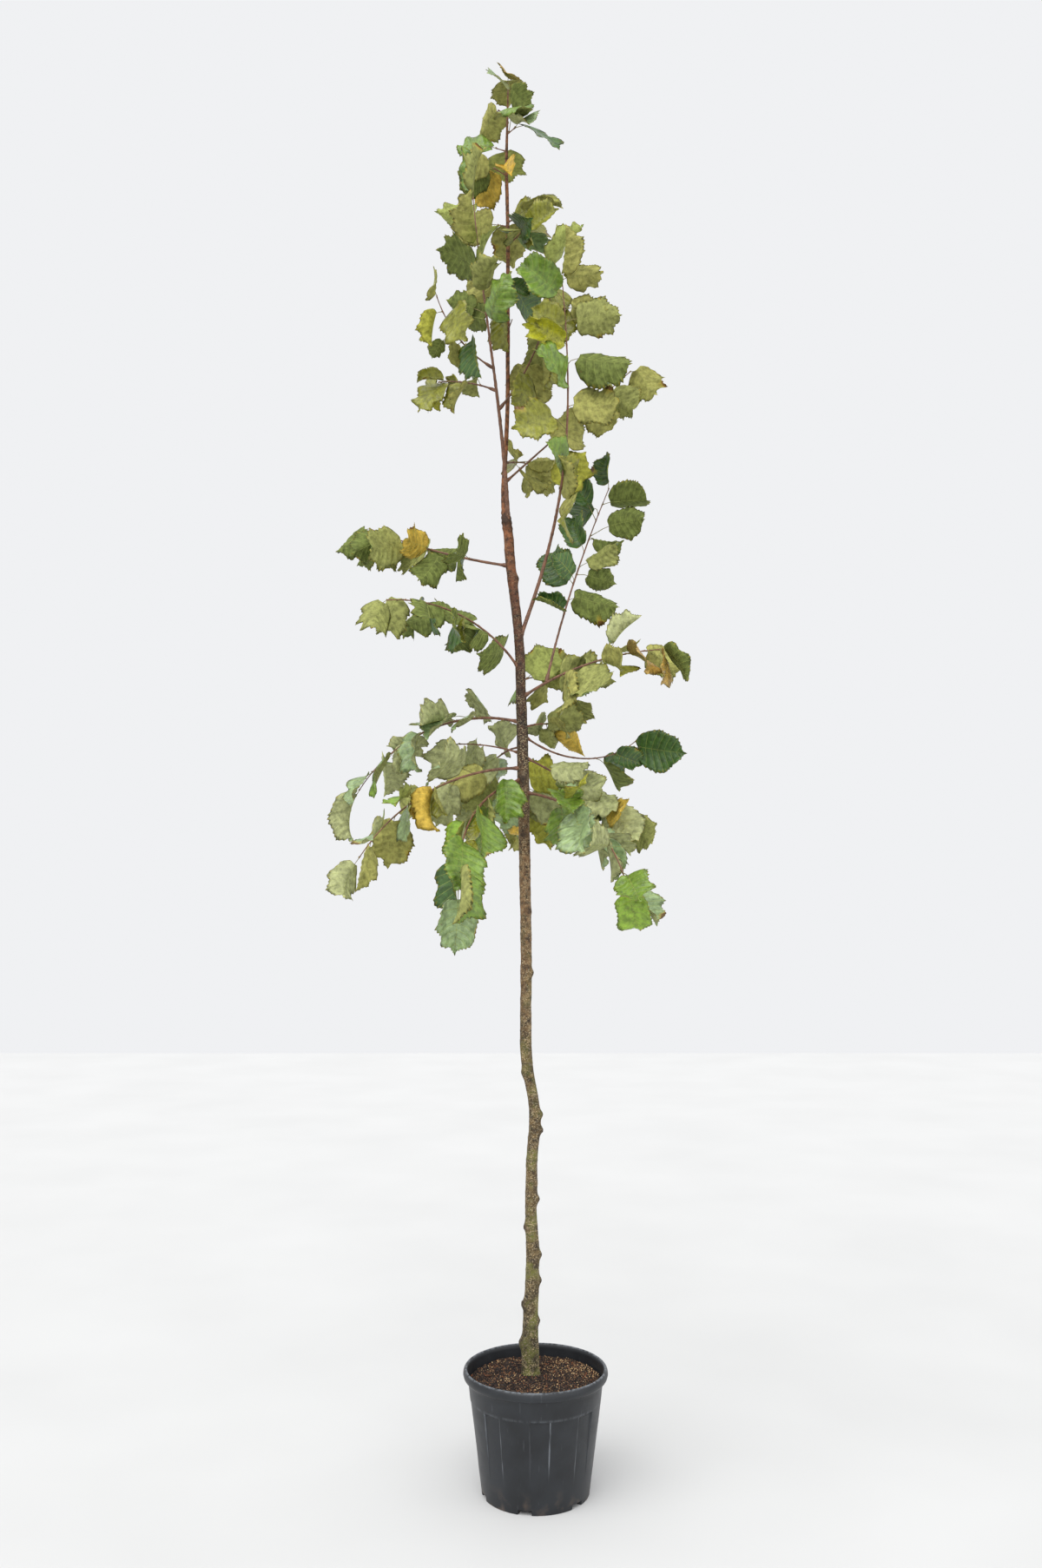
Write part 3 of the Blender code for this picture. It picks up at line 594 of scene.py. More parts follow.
def trunk_course():
    """The trunk's middle and radius at every step up it: x, y, z and radius."""
    spots = np.array(TRUNK_SPOTS)
    heights = np.append(np.arange(SOIL_TOP, spots[-1, 0], STEP), spots[-1, 0])
    course = np.stack([np.interp(heights, spots[:, 0], spots[:, k]) for k in (1, 2, 3)], 1)
    padded = np.pad(course, ((SWAY, SWAY), (0, 0)), mode="edge")
    share = np.ones(2 * SWAY + 1) / (2 * SWAY + 1)
    smoothed = np.stack([np.convolve(padded[:, k], share, "valid") for k in range(3)], 1)
    return np.stack([smoothed[:, 0], smoothed[:, 1], heights, smoothed[:, 2] / 2], 1)


COURSE = trunk_course()


def on_course(z):
    """The trunk's middle, x and y, and its radius at each height, read between its steps."""
    return [np.interp(z, COURSE[:, 2], COURSE[:, k]) for k in (0, 1, 3)]


def from_knob(angle, z, radius, knob):
    """How far a place on the bark is from a knob's middle, in spreads of the knob."""
    height, heading, _, spread = knob
    aside = off_nearest(angle, math.radians(heading), math.tau)
    return np.hypot((z - height) / spread, aside * radius / spread)


def trunk_relief(angle, z, radius):
    """How far the bark stands out of the round.

    Bells make the knobs, the rings where a year began and the graft, noise
    makes faint ribs, and the tops of a finer noise are raised as lenticels.
    """
    relief = np.zeros(np.broadcast(angle, z).shape)
    for knob in KNOBS:
        relief += knob[2] * np.exp(-2 * from_knob(angle, z, radius, knob) ** 2)
    around = angle / math.tau
    for rise, cells_round, cells_up, seed in RIBS:
        relief += rise * lattice_noise(around * cells_round, z * cells_up, seed, cells_round)
    years = YEAR_RISE * bell(off_nearest(z, YEAR_FIRST, YEAR_GAP) / YEAR_WIDTH)
    relief += years * (0.5 + 0.5 * lattice_noise(around * 6, z * 12, 24, 6))
    uneven = 0.8 + 0.4 * lattice_noise(around * 5, z * 80, 26, 5)
    for ridge in GRAFT_RINGS:
        relief += GRAFT_RISE * bell((z - ridge) / GRAFT_WIDTH) * uneven
    tops = eased((lattice_noise(around * 22, z * 330, 25, 22) - 0.55) / 0.2)
    return relief * np.clip(radius / 0.014, 0.25, 1) + LENTICEL_RISE * tops


def trunk_surface():
    """Level rings up the course: each the round radius, its relief, and the flare at the foot."""
    z = np.arange(SOIL_TOP - 0.004, COURSE[-1, 2], TRUNK_ROW)[:, None]
    angle = (np.arange(TRUNK_COLUMNS) * math.tau / TRUNK_COLUMNS)[None, :]
    x, y, radius = on_course(z)
    out = radius + trunk_relief(angle, z, radius) + FLARE * np.exp(-(z - SOIL_TOP) / FLARE_REACH)
    return skin(np.stack([x + out * np.cos(angle), y + out * np.sin(angle), z + 0 * angle], -1))


def trunk_wounds(points):
    """How dark each point of the bark is: at the graft, round the knobs, and where a year began."""
    x, y, _ = on_course(points[:, 2])
    angle = np.arctan2(points[:, 1] - y, points[:, 0] - x)
    z = points[:, 2]
    dark = GRAFT_DARK * eased(1 - np.abs(z - GRAFT) / GRAFT_REACH)
    for knob in KNOBS:
        dark = np.maximum(dark, KNOB_DARK * np.exp(-3.2 * from_knob(angle, z, DARK_RADIUS, knob) ** 2))
    years = YEAR_DARK * bell(off_nearest(z, YEAR_FIRST, YEAR_GAP) / YEAR_DARK_WIDTH)
    return np.maximum(dark, years * (lattice_noise(angle / math.tau * 6, z * 12, 24, 6) > 0.1))


def scar_surface(knob):
    """A healed pruning scar: a shallow oval dish with a raised rim on the knob's face."""
    height, heading, rise, spread = knob
    x, y, radius = on_course(height)
    turn = math.radians(heading)
    outward = np.array([math.cos(turn), math.sin(turn), 0.0])
    sideways = np.array([-math.sin(turn), math.cos(turn), 0.0])
    middle = np.array([x, y, height]) + outward * (radius + rise)
    angle = (np.arange(24) * math.tau / 24)[:, None]
    oval = sideways * np.cos(angle) * SCAR_WIDE * spread + UP * np.sin(angle) * SCAR_TALL * spread
    return skin(np.stack([middle + oval * share + outward * lift for share, lift in SCAR_RINGS]))


def joined(parts):
    """Several surfaces as one: their points one after another, their faces renumbered."""
    counts = np.cumsum([0] + [len(points) for points, _ in parts])
    points = np.vstack([points for points, _ in parts])
    return points, np.vstack([faces + start for (_, faces), start in zip(parts, counts)])


def old_bark():
    """Smooth hazel bark, seven years old at the foot and two at the top.

    The eye sees grey brown that turns red brown upwards, a green film of
    algae up to 1.5 m, a grey crust and pale lenticels that thin out above
    two metres, and dark healed wounds.  Lenticels 1 to 2 mm across are drawn
    3 to 5 mm wide, and the crust's grain of 1 mm at 4.4 mm, so that they show.
    """
    finish, tree, place = new_finish("smooth_hazel_bark")
    height = add_node(tree, "SeparateXYZ", {"Vector": place}, out="Z")
    wound = add_node(tree, "Attribute", out="Fac", attribute_name="wear")
    cracks = add_node(tree, "TexNoise", {"Vector": place, "Scale": cells(13), "Detail": 7,
                                         "Roughness": 0.72})
    algae = add_node(tree, "TexNoise", {"Vector": place, "Scale": cells(48), "Detail": 6})
    grain = add_node(tree, "TexNoise", {"Vector": place, "Scale": cells(4.4), "Detail": 5,
                                        "Roughness": 0.7})
    flat = add_node(tree, "Mapping", {"Vector": place, "Scale": (cells(5.3), cells(5.3), cells(3.2))})
    lenticels = add_node(tree, "TexVoronoi", {"Vector": flat, "Scale": 1})
    crowds = add_node(tree, "TexNoise", {"Vector": place, "Scale": cells(22)})
    upwards = add_node(tree, "MapRange", {"Value": height, "From Max": 3.8})
    base = add_node(tree, "ValToRGB", {"Fac": upwards}, (
        (0.08, "3b331a"), (0.15, "62502f"), (0.28, "604a29"), (0.40, "8d6c4a"), (0.50, "3c2614"),
        (0.58, "553220"), (0.66, "935c38"), (1.0, "8a5a3a")))
    shade = add_node(tree, "ValToRGB", {"Fac": cracks}, ((0.40, "4c4138"), (0.60, "ffffff")))
    toned = add_node(tree, "Mix", {"Factor": 0.9, "A": base, "B": shade}, data_type="RGBA",
                     blend_type="MULTIPLY")
    return finished(finish, {
        "Base Color": layered(tree, toned, (
            ("6d7030", (height, 1.55, 0.75, 0, 0.85), (algae, 0.47, 0.60), (grain, 0.42, 0.58, 0.25, 1)),
            ("a79c7e", (grain, 0.48, 0.36, 0, 0.55), (height, 2.3, 1.6, 0.15, 1)),
            ("b7a27c", (lenticels, 0.48, 0.26, 0, 0.7), (height, 2.5, 1.7, 0.25, 1), (crowds, 0.40, 0.58)),
            ("2e2218", (wound,)),
        )),
        "Roughness": 0.78,
        "Normal": add_node(tree, "Bump", {"Height": cracks, "Strength": 0.7, "Distance": 0.0010}),
    })


def scar_wood():
    """Dead wood of a healed cut.

    The eye sees a dark, dry spot, browner along its rings of 1 mm, which are
    drawn at 3.8 mm.
    """
    finish, tree, place = new_finish("healed_cut_wood")
    rings = add_node(tree, "TexNoise", {"Vector": place, "Scale": cells(3.8), "Detail": 3})
    shade = add_node(tree, "ValToRGB", {"Fac": rings}, ((0.35, "2e231c"), (0.7, "5e4a3b")))
    return finished(finish, {"Base Color": shade, "Roughness": 0.9})


stem = trunk_surface()
trunk = new_piece("hazel_trunk", stem, [old_bark()], wear=trunk_wounds(stem[0]))
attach(trunk, "root")
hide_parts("trunk")
scars = new_piece("pruning_scars", joined([scar_surface(KNOBS[k]) for k in SCARS]), [scar_wood()])
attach(scars, "root")


# Boughs
# The bare foot of each shoot: one or two year old wood, 5 to 12 mm thick,
# that grows out of the trunk through a small collar and tapers evenly.  Its
# bark is thin, red brown and satin, with pale dots.

# A shoot springs from its parent at a height of the trunk or a length along
# another shoot.  Heading and climb are in degrees, turn and bend how much
# they change up to its tip, and hang how far its leaves hang down.
Shoot = namedtuple(
    "Shoot", "parent spring heading climb bend turn length bare girth leaves blade hang catkins seed"
)
SHOOTS = {name: Shoot(*growth) for name, *growth in (
    ("left_leader", "trunk", 2.46, -95, 76, 9, -95, 0.91, 0.5, 0.012, 7, 0.12, 0.03, 0, 94),
    ("long_right", "trunk", 2.171, 11, 70, 13, -146, 0.97, 0.36, 0.011, 12, 0.125, 0.23, 0, 106),
    ("middle_right", "trunk", 2.016, -18, 32, -32, -1, 0.4, 0.1, 0.008, 8, 0.115, 0.2, 4, 22),
    ("inner_right", "trunk", 2.06, 62, 25, -30, 0, 0.14, 0.0, 0.005, 3, 0.13, 0.18, 0, 55),
    ("upright_right", "middle_right", 0.085, 47, 72, -5, -30, 0.6, 0.2, 0.007, 9, 0.105, 0.2, 0, 62),
    ("diagonal_right", "trunk", 2.603, 25, 44, 0, -9, 0.53, 0.34, 0.006, 5, 0.11, 0.57, 0, 106),
    ("far_right", "trunk", 1.919, 17, -37, 75, 16, 0.38, 0.22, 0.006, 3, 0.115, 0.32, 0, 108),
    ("behind_right", "trunk", 1.935, 50, 20, -30, 0, 0.2, 0.05, 0.006, 5, 0.105, 0.28, 0, 72),
    ("low_right", "trunk", 1.764, -30, -8, -52, -38, 0.47, 0.08, 0.008, 10, 0.11, 0.28, 0, 21),
    ("outer_right", "trunk", 1.86, 8, -25, -13, 1, 0.32, 0.06, 0.006, 9, 0.11, 0.42, 0, 39),
    ("upper_left", "trunk", 2.374, 172, 10, 16, -13, 0.43, 0.11, 0.008, 9, 0.11, 0.45, 2, 36),
    ("second_left", "trunk", 2.089, -149, 53, -61, -12, 0.43, 0.06, 0.007, 8, 0.115, 0.52, 0, 96),
    ("third_left", "trunk", 1.95, 160, 17, -75, 12, 0.53, 0.08, 0.008, 9, 0.115, 0.4, 2, 47),
    ("fourth_left", "trunk", 1.828, -161, 0, -58, -6, 0.52, 0.09, 0.008, 10, 0.11, 0.38, 0, 5),
    ("fifth_left", "trunk", 1.866, 158, 20, -24, 1, 0.24, 0.08, 0.005, 4, 0.115, 0.65, 0, 69),
    ("front_left", "trunk", 1.8, -133, -15, -38, 48, 0.54, 0.06, 0.008, 10, 0.12, 0.77, 0, 22),
    ("fork_twig", "left_leader", 0.33, 13, 52, 34, 10, 0.43, 0.1, 0.006, 7, 0.12, 0.57, 0, 29),
    ("left_twig_high", "left_leader", 0.445, -160, 22, 42, 23, 0.24, 0.07, 0.005, 5, 0.095, 0.67, 0, 35),
    ("left_twig_low", "left_leader", 0.38, 150, 30, -23, -2, 0.2, 0.05, 0.005, 5, 0.095, 0.3, 0, 16),
    ("leader_tip", "trunk", 3.705, -30, 90, 0, 0, 0.035, 0.0, 0.004, 4, 0.085, 0.62, 0, 74),
    ("leader_1", "trunk", 3.645, -170, 25, 0, 0, 0.03, 0.0, 0.004, 1, 0.125, 0.08, 0, 30),
    ("leader_2", "trunk", 3.59, -20, 30, 0, 0, 0.03, 0.0, 0.004, 2, 0.12, 0.62, 0, 109),
    ("leader_3", "trunk", 3.54, 165, 25, 0, 0, 0.035, 0.0, 0.004, 2, 0.105, 0.42, 0, 18),
    ("leader_4", "trunk", 3.47, -165, 25, 0, 0, 0.04, 0.0, 0.004, 3, 0.1, 0.55, 0, 58),
    ("leader_5", "trunk", 3.335, -10, 35, 0, 0, 0.04, 0.0, 0.004, 2, 0.12, 0.47, 0, 33),
    ("leader_6", "trunk", 3.325, 140, 25, 0, 0, 0.04, 0.0, 0.004, 2, 0.11, 0.52, 0, 29),
    ("leader_7", "trunk", 3.27, -40, 25, 0, 0, 0.06, 0.0, 0.004, 4, 0.105, 0.42, 0, 23),
    ("leader_8", "trunk", 3.16, 120, 25, 0, 0, 0.04, 0.0, 0.004, 3, 0.105, 0.43, 0, 108),
    ("leader_9", "trunk", 3.03, -70, 25, 0, 0, 0.04, 0.0, 0.004, 3, 0.105, 0.77, 0, 21),
    ("back_low", "trunk", 1.8, 85, 5, -40, 0, 0.28, 0.06, 0.006, 6, 0.11, 0.55, 0, 102),
    ("back_left", "trunk", 1.885, 118, 5, -50, 0, 0.34, 0.08, 0.006, 7, 0.11, 0.43, 0, 66),
    ("back_high", "trunk", 2.66, 65, 20, -10, 0, 0.22, 0.05, 0.005, 5, 0.11, 0.3, 0, 46),
)}
TWIG_TIP_RADIUS = 0.0012
LIMB_ROW = 0.004
BOUGH_COLLAR, BOUGH_COLLAR_PLACE = 0.0022, 0.012
JOINT_SWELL, JOINT_FIRST, JOINT_GAP, JOINT_WIDTH = 0.0006, 0.02, 0.047, 0.003


def unit(vector):
    """The vector at length one."""
    return vector / math.sqrt(float(vector @ vector))


def shoot_routes():
    """Each shoot's middle line: climb and heading change evenly from foot to tip."""
    routes = {}
    for name, shoot in SHOOTS.items():
        if shoot.parent == "trunk":
            foot = np.array([np.interp(shoot.spring, COURSE[:, 2], COURSE[:, k]) for k in range(3)])
        else:
            foot = routes[shoot.parent][round(shoot.spring / STEP)]
        steps = round(shoot.length / STEP)
        share = (np.arange(steps) + 0.5) / steps
        climb = np.radians(shoot.climb + shoot.bend * share)
        heading = np.radians(shoot.heading + shoot.turn * share)
        level = np.stack([np.cos(heading), np.sin(heading)], 1) * np.cos(climb)[:, None]
        stride = np.column_stack([level, np.sin(climb)]) * shoot.length / steps
        routes[name] = np.vstack([foot, foot + np.cumsum(stride, 0)])
    return routes


ROUTES = shoot_routes()


def tube(path, radii, sides, seed=0, rough=0.0):
    """A tube: rings round a path, their frames carried along it without twist, roughened by noise."""
    ahead = np.gradient(path, axis=0)
    ahead /= np.linalg.norm(ahead, axis=1)[:, None]
    across = np.cross(ahead[0], UP) + np.array([1e-6, 1e-9, 0])
    frames = np.empty_like(path)
    for i, forward in enumerate(ahead):
        across = unit(across - forward * float(across @ forward))
        frames[i] = across
    angle = (np.arange(sides) * math.tau / sides)[None, :, None]
    aside = frames[:, None] * np.cos(angle) + np.cross(ahead, frames)[:, None] * np.sin(angle)
    out = np.broadcast_to(np.asarray(radii, float).reshape(-1, 1), (len(path), sides)).copy()
    if rough:
        run = np.append(0, np.cumsum(np.linalg.norm(np.diff(path, axis=0), axis=1)))[:, None]
        out += rough * lattice_noise(angle[..., 0] / math.tau * 6, run * 150, seed, 6)
    return skin(path[:, None] + aside * out[..., None])


def run_along(route, first, last):
    """Points and their lengths along a route between two of its steps, one every row."""
    lengths = np.arange(len(route)) * STEP
    run = np.linspace(first * STEP, last * STEP, max(3, round((last - first) * STEP / LIMB_ROW)))
    return np.stack([np.interp(run, lengths, route[:, k]) for k in range(3)], 1), run


def limb_radius(shoot, run):
    """A shoot's radius at lengths along it: an even taper, and a collar at its foot."""
    taper = np.interp(run, (0, shoot.length), (shoot.girth / 2, TWIG_TIP_RADIUS))
    return taper + BOUGH_COLLAR * bell((run - BOUGH_COLLAR_PLACE) / BOUGH_COLLAR_PLACE) * (shoot.bare > 0)


def bough_surface(name):
    """The bare stretch of a shoot, from the middle of what bears it to its first leaf."""
    shoot = SHOOTS[name]
    path, run = run_along(ROUTES[name], 0, round(shoot.bare / STEP))
    joints = JOINT_SWELL * bell(off_nearest(run, JOINT_FIRST, JOINT_GAP) / JOINT_WIDTH)
    return tube(path, limb_radius(shoot, run) + joints, 14, shoot.seed, 0.0004)


def young_bark(name, low, high, roughness):
    """Bark of young wood, and the skin of stalks, buds and catkins.

    The eye sees a thin satin skin mottled between two colours, with pale
    dots: lenticels of 1 mm, drawn 3.8 mm apart and 2 mm wide.
    """
    finish, tree, place = new_finish(name)
    mottle = add_node(tree, "TexNoise", {"Vector": place, "Scale": cells(14), "Detail": 4})
    dots = add_node(tree, "TexVoronoi", {"Vector": place, "Scale": cells(3.8)})
    base = add_node(tree, "ValToRGB", {"Fac": mottle}, ((0.35, low), (0.65, high)))
    return finished(finish, {
        "Base Color": layered(tree, base, (("b7a184", (dots, 0.26, 0.12, 0, 0.5)),)),
        "Roughness": roughness,
        "Normal": add_node(tree, "Bump", {"Height": mottle, "Strength": 0.3, "Distance": 0.0004}),
    })


bearing = [name for name in SHOOTS if SHOOTS[name].bare > 0]
boughs = new_piece("boughs", joined([bough_surface(name) for name in bearing]),
                   [young_bark("two_year_hazel_bark", "593a29", "7c543c", 0.5)])
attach(boughs, "root")
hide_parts(*[f"bough_{name}" for name in bearing])


# Growth of the leaves
# Hazel sets one leaf at a time, left and right in turn, each on a short stalk
# or a spur.  A leaf leans out of its twig, droops and turns its face up.
# After the leaves of each mass come smaller ones that fill it.

Leaf = namedtuple("Leaf", "foot knee root axis face length droop fold")
# Places along the blade and its half width there, as shares of its length.
OUTLINE = ((0.0, 0.0), (0.03, 0.24), (0.20, 0.40), (0.52, 0.45), (0.78, 0.34), (0.90, 0.13), (1.0, 0.0))
SINK = 0.004
CROWN_TOP = 3.765
# How far leaves, stalks and catkins keep off limbs, each other and the
# middle between two stems.
LIMB_CLEAR = 0.010
STALK_CLEAR = 0.004
LEAF_CLEAR = 0.012
SMALL_CLEAR = 0.006
SPACE_CLEAR = 0.003
TRIES = 30
# Turns and spreads in degrees, spurs in metres, the rest as shares.
FIRST_PLACE = 0.35
RANK_TURN_LEVEL = 25
RANK_TURN_STEEP = 65
SPRAY_TWIST = 110
SIDE_SPREAD = (35, 80)
TIP_SPREAD = (5, 35)
RANK_STRAY = 35
SPUR = (-0.06, 0.045)
HANG_STRAY = 0.3
MOST_HANG = 0.92
FACE_LEAN = 0.6
FACE_STRAY = 25
BLADE_SHARE = (0.85, 1.15)
PETIOLE_SHARE = (0.15, 0.22)
PETIOLE_BEND = 0.5
DROOP = (0.1, 0.95)
FOLD = (-0.15, 0.6)
SMALL_SHARE = 0.4
SMALL_SIZE = (0.6, 1.0)
FULL_SIZE = 1.04
TESTED_ALONG = np.array([0.03, 0.15, 0.28, 0.41, 0.54, 0.67, 0.79, 0.90, 1.0])
TESTED_ACROSS = np.linspace(-1, 1, 9)


def turned(vector, axis, angle):
    """The vector turned about a unit axis, by Rodrigues' formula."""
    return (
        vector * math.cos(angle)
        + np.cross(axis, vector) * math.sin(angle)
        + axis * float(axis @ vector) * (1 - math.cos(angle))
    )


def blade_points(leaf, along, across):
    """Points of a blade: its midrib a falling arc, its halves folded up beside it."""
    curve = leaf.droop / leaf.length
    angle = leaf.droop * along
    ahead = np.sin(angle) / curve
    below = (1 - np.cos(angle)) / curve
    side = np.cross(leaf.face, leaf.axis)
    lift = leaf.face * np.cos(angle)[:, None] + leaf.axis * np.sin(angle)[:, None]
    width = across * leaf.length
    return (
        leaf.root
        + leaf.axis * ahead[:, None]
        - leaf.face * below[:, None]
        + side * (width * math.cos(leaf.fold))[:, None]
        + lift * (np.abs(width) * math.sin(leaf.fold))[:, None]
    )


def tested_points(leaf):
    """The stalk's three points and a grid over the blade."""
    half = np.interp(TESTED_ALONG, *np.array(OUTLINE).T)
    along = np.repeat(TESTED_ALONG, len(TESTED_ACROSS))
    blade = blade_points(leaf, along, np.outer(half, TESTED_ACROSS).ravel())
    return np.vstack([leaf.knee, (leaf.knee + leaf.root) / 2, leaf.root, blade])


def draw_leaf(chance, shoot, place, ahead, side, rank, twist, last):
    """One leaf by chance.

    Its stalk leans off the twig by the spread, to its rank's side.  The
    blade's axis lies between the stalk and straight down, by the hang, and
    its face as nearly up as that allows, turned by the spray's twist.
    """
    spread = math.radians(chance.uniform(*(TIP_SPREAD if last else SIDE_SPREAD)))
    level = unit(np.cross(ahead, UP) + np.array([1e-9, 0, 0]))
    out = turned(level * side, ahead, rank + math.radians(chance.uniform(-RANK_STRAY, RANK_STRAY)))
    stalk = unit(math.cos(spread) * ahead + math.sin(spread) * out)
    spur = max(0.0, chance.uniform(*SPUR)) * (not last)
    hang = min(MOST_HANG, max(0.0, shoot.hang + chance.uniform(-HANG_STRAY, HANG_STRAY)))
    axis = unit((1 - hang) * stalk - hang * UP)
    lift = UP + FACE_LEAN * stalk
    flat = unit(lift - axis * float(axis @ lift))
    face = turned(flat, axis, twist + math.radians(chance.gauss(0, FACE_STRAY)))
    length = shoot.blade * chance.uniform(*BLADE_SHARE)
    petiole = length * chance.uniform(*PETIOLE_SHARE)
    droop = chance.uniform(*DROOP)
    fold = chance.uniform(*FOLD)
    knee = place + stalk * spur
    root = knee + unit(stalk + PETIOLE_BEND * axis) * petiole
    return Leaf(place - ahead * SINK, knee, root, axis, face, length, droop, fold)


def spacing(points, others):
    """The distance of each point to each of the others."""
    between = points[:, None, :] - others[None, :, :]
    return np.sqrt(np.einsum("ijk,ijk->ij", between, between))


def surroundings(name):
    """The limbs round a shoot with the radius to keep off them, and the other masses' stems."""
    points = [COURSE[:, :3]]
    radii = [COURSE[:, 3]]
    stems = []
    for other, shoot in SHOOTS.items():
        if other != name:
            points.append(ROUTES[other])
            radii.append(np.full(len(ROUTES[other]), shoot.girth / 2))
            stems.append(ROUTES[other][round(shoot.bare / STEP):])
    return np.vstack(points), np.concatenate(radii), np.vstack(stems)


def in_space(points, leafy, stems):
    """Whether all points are nearer to their own stem than to another, with some to spare."""
    return (spacing(points, stems).min(1) >= spacing(points, leafy).min(1) + SPACE_CLEAR).all()


def fits(leaf, name, leafy, around, grown, clear):
    """Whether a leaf keeps to its mass's space, clear of limbs and of the leaves grown."""
    cloud = tested_points(leaf)
    blade = cloud[3 + len(TESTED_ACROSS):]
    limbs, radii, stems = around
    return (
        cloud[:, 2].max() <= CROWN_TOP
        and spacing(blade, ROUTES[name]).min() >= LIMB_CLEAR
        and (spacing(blade, limbs) >= radii + LIMB_CLEAR).all()
        and (spacing(cloud[:3], limbs) >= radii + STALK_CLEAR).all()
        and in_space(cloud, leafy, stems)
        and all(spacing(blade, tested_points(other)).min() >= clear for other in grown)
    )


def grow_leaves(name, chance):
    """Leaves at even steps up a shoot, left and right in turn, then smaller ones between.

    Each is drawn anew until it fits; one that never does is left out.
    """
    shoot = SHOOTS[name]
    leafy = ROUTES[name][round(shoot.bare / STEP):]
    steep = abs(float(unit(leafy[-1] - leafy[0])[2]))
    rank = math.radians(chance.uniform(-1, 1) * (RANK_TURN_LEVEL + RANK_TURN_STEEP * steep))
    first = chance.choice((-1, 1))
    twist = math.radians(chance.uniform(-SPRAY_TWIST, SPRAY_TWIST))
    around = surroundings(name)
    grown = []
    for i in range(shoot.leaves):
        share = i / (shoot.leaves - 1) if shoot.leaves > 1 else 1.0
        if shoot.bare == 0:
            share = FIRST_PLACE + (1 - FIRST_PLACE) * share
        j = max(1, round(share * (len(leafy) - 1)))
        ahead = unit(leafy[j] - leafy[j - 1])
        last = shoot.leaves > 1 and i == shoot.leaves - 1
        for _ in range(TRIES):
            leaf = draw_leaf(chance, shoot, leafy[j], ahead, first * (-1) ** i, rank, twist, last)
            if fits(leaf, name, leafy, around, grown, LEAF_CLEAR):
                grown.append(leaf)
                break
    smaller = random.Random(shoot.seed + 500)
    for i in range(round(shoot.leaves * SMALL_SHARE)):
        j = smaller.randrange(1, len(leafy))
        ahead = unit(leafy[j] - leafy[j - 1])
        for _ in range(TRIES):
            small = shoot._replace(blade=shoot.blade * smaller.uniform(*SMALL_SIZE))
            leaf = draw_leaf(smaller, small, leafy[j], ahead, (-1) ** i, rank, twist, False)
            cloud = tested_points(leaf)
            inside = (cloud > cad_box[0]).all() and (cloud < cad_box[1]).all()
            if inside and fits(leaf, name, leafy, around, grown, SMALL_CLEAR):
                grown.append(leaf)
                break
    return grown


CHANCES = {name: random.Random(SHOOTS[name].seed) for name in SHOOTS}
LEAVES = {}
for name in SHOOTS:
    grown = grow_leaves(name, CHANCES[name])
    LEAVES[name] = [leaf._replace(length=leaf.length * FULL_SIZE) for leaf in grown]


# Twigs, stalks and buds
# The leafy end of each shoot is this year's wood: 3 to 5 mm thick, red
# brown and slightly hairy, swollen where a leaf sits.  Each leaf has a green
# brown stalk of 15 to 25 mm, and a blunt bud in the angle above it.

TWIG_SWELL, TWIG_SWELL_REACH = 0.0006, 0.004
STALK_RADII = (0.0011, 0.0007)
BUD_LENGTH = 0.0055
BUD_RADIUS = 0.0019


def twig_surface(name):
    """A shoot's leafy stretch: its taper, swollen like a bell at the foot of each leaf."""
    shoot = SHOOTS[name]
    path, run = run_along(ROUTES[name], round(shoot.bare / STEP), len(ROUTES[name]) - 1)
    radii = limb_radius(shoot, run)
    for leaf in LEAVES[name]:
        radii += TWIG_SWELL * bell(np.linalg.norm(path - leaf.foot, axis=1) / TWIG_SWELL_REACH)
    return tube(path, radii, 10, shoot.seed + 40, 0.0002)


def stalk_surface(leaf):
    """A leaf stalk: up its spur where it has one, then a curve round its knee into the blade."""
    share = np.linspace(0, 1, 9)[:, None]
    middle = leaf.knee * 0.6 + leaf.root * 0.4
    end = leaf.root + leaf.axis * SINK
    spurred = np.linalg.norm(leaf.knee - leaf.foot) > 2 * SINK
    start = leaf.knee if spurred else leaf.foot
    path = start * (1 - share) ** 2 + 2 * middle * share * (1 - share) + end * share ** 2
    if spurred:
        spur = leaf.foot + (leaf.knee - leaf.foot) * np.linspace(0, 0.8, 4)[:, None]
        path = np.vstack([spur, path])
    return tube(path, np.linspace(*STALK_RADII, len(path)), 6)


def bud_surface(leaf):
    """A bud above a stalk: an egg standing out of the twig between it and the stalk."""
    way = unit(unit(leaf.root - leaf.foot) + 0.4 * UP)
    share = np.linspace(0.02, 0.98, 6)
    path = leaf.foot + UP * 0.001 + np.outer(share * BUD_LENGTH, way)
    return tube(path, BUD_RADIUS * np.sqrt(np.sin(math.pi * share ** 0.8)), 8)


every_leaf = [leaf for name in SHOOTS for leaf in LEAVES[name]]
twigs = new_piece("twigs", joined([twig_surface(name) for name in SHOOTS]),
                  [young_bark("one_year_hazel_bark", "5e3b2a", "825a42", 0.5)])
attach(twigs, "root")
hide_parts(*[f"foliage_{name}" for name in SHOOTS])
stalks = new_piece("leaf_stalks", joined([stalk_surface(leaf) for leaf in every_leaf]),
                   [young_bark("hairy_leaf_stalk", "6d6a3a", "86794a", 0.7)])
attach(stalks, "root")
buds = new_piece("buds", joined([bud_surface(leaf) for leaf in every_leaf]),
                 [young_bark("bud_scales", "6f6638", "8d7a4c", 0.5)])
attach(buds, "root")


# Leaves
# Hazel leaves late in the season: round to egg shaped, 8 to 14 cm, heart
# shaped at the stalk, coarsely toothed, pleated between seven pairs of veins
# and rolled at the margin.  Satin green above, downy olive below, some yellow.

VEINS = 7
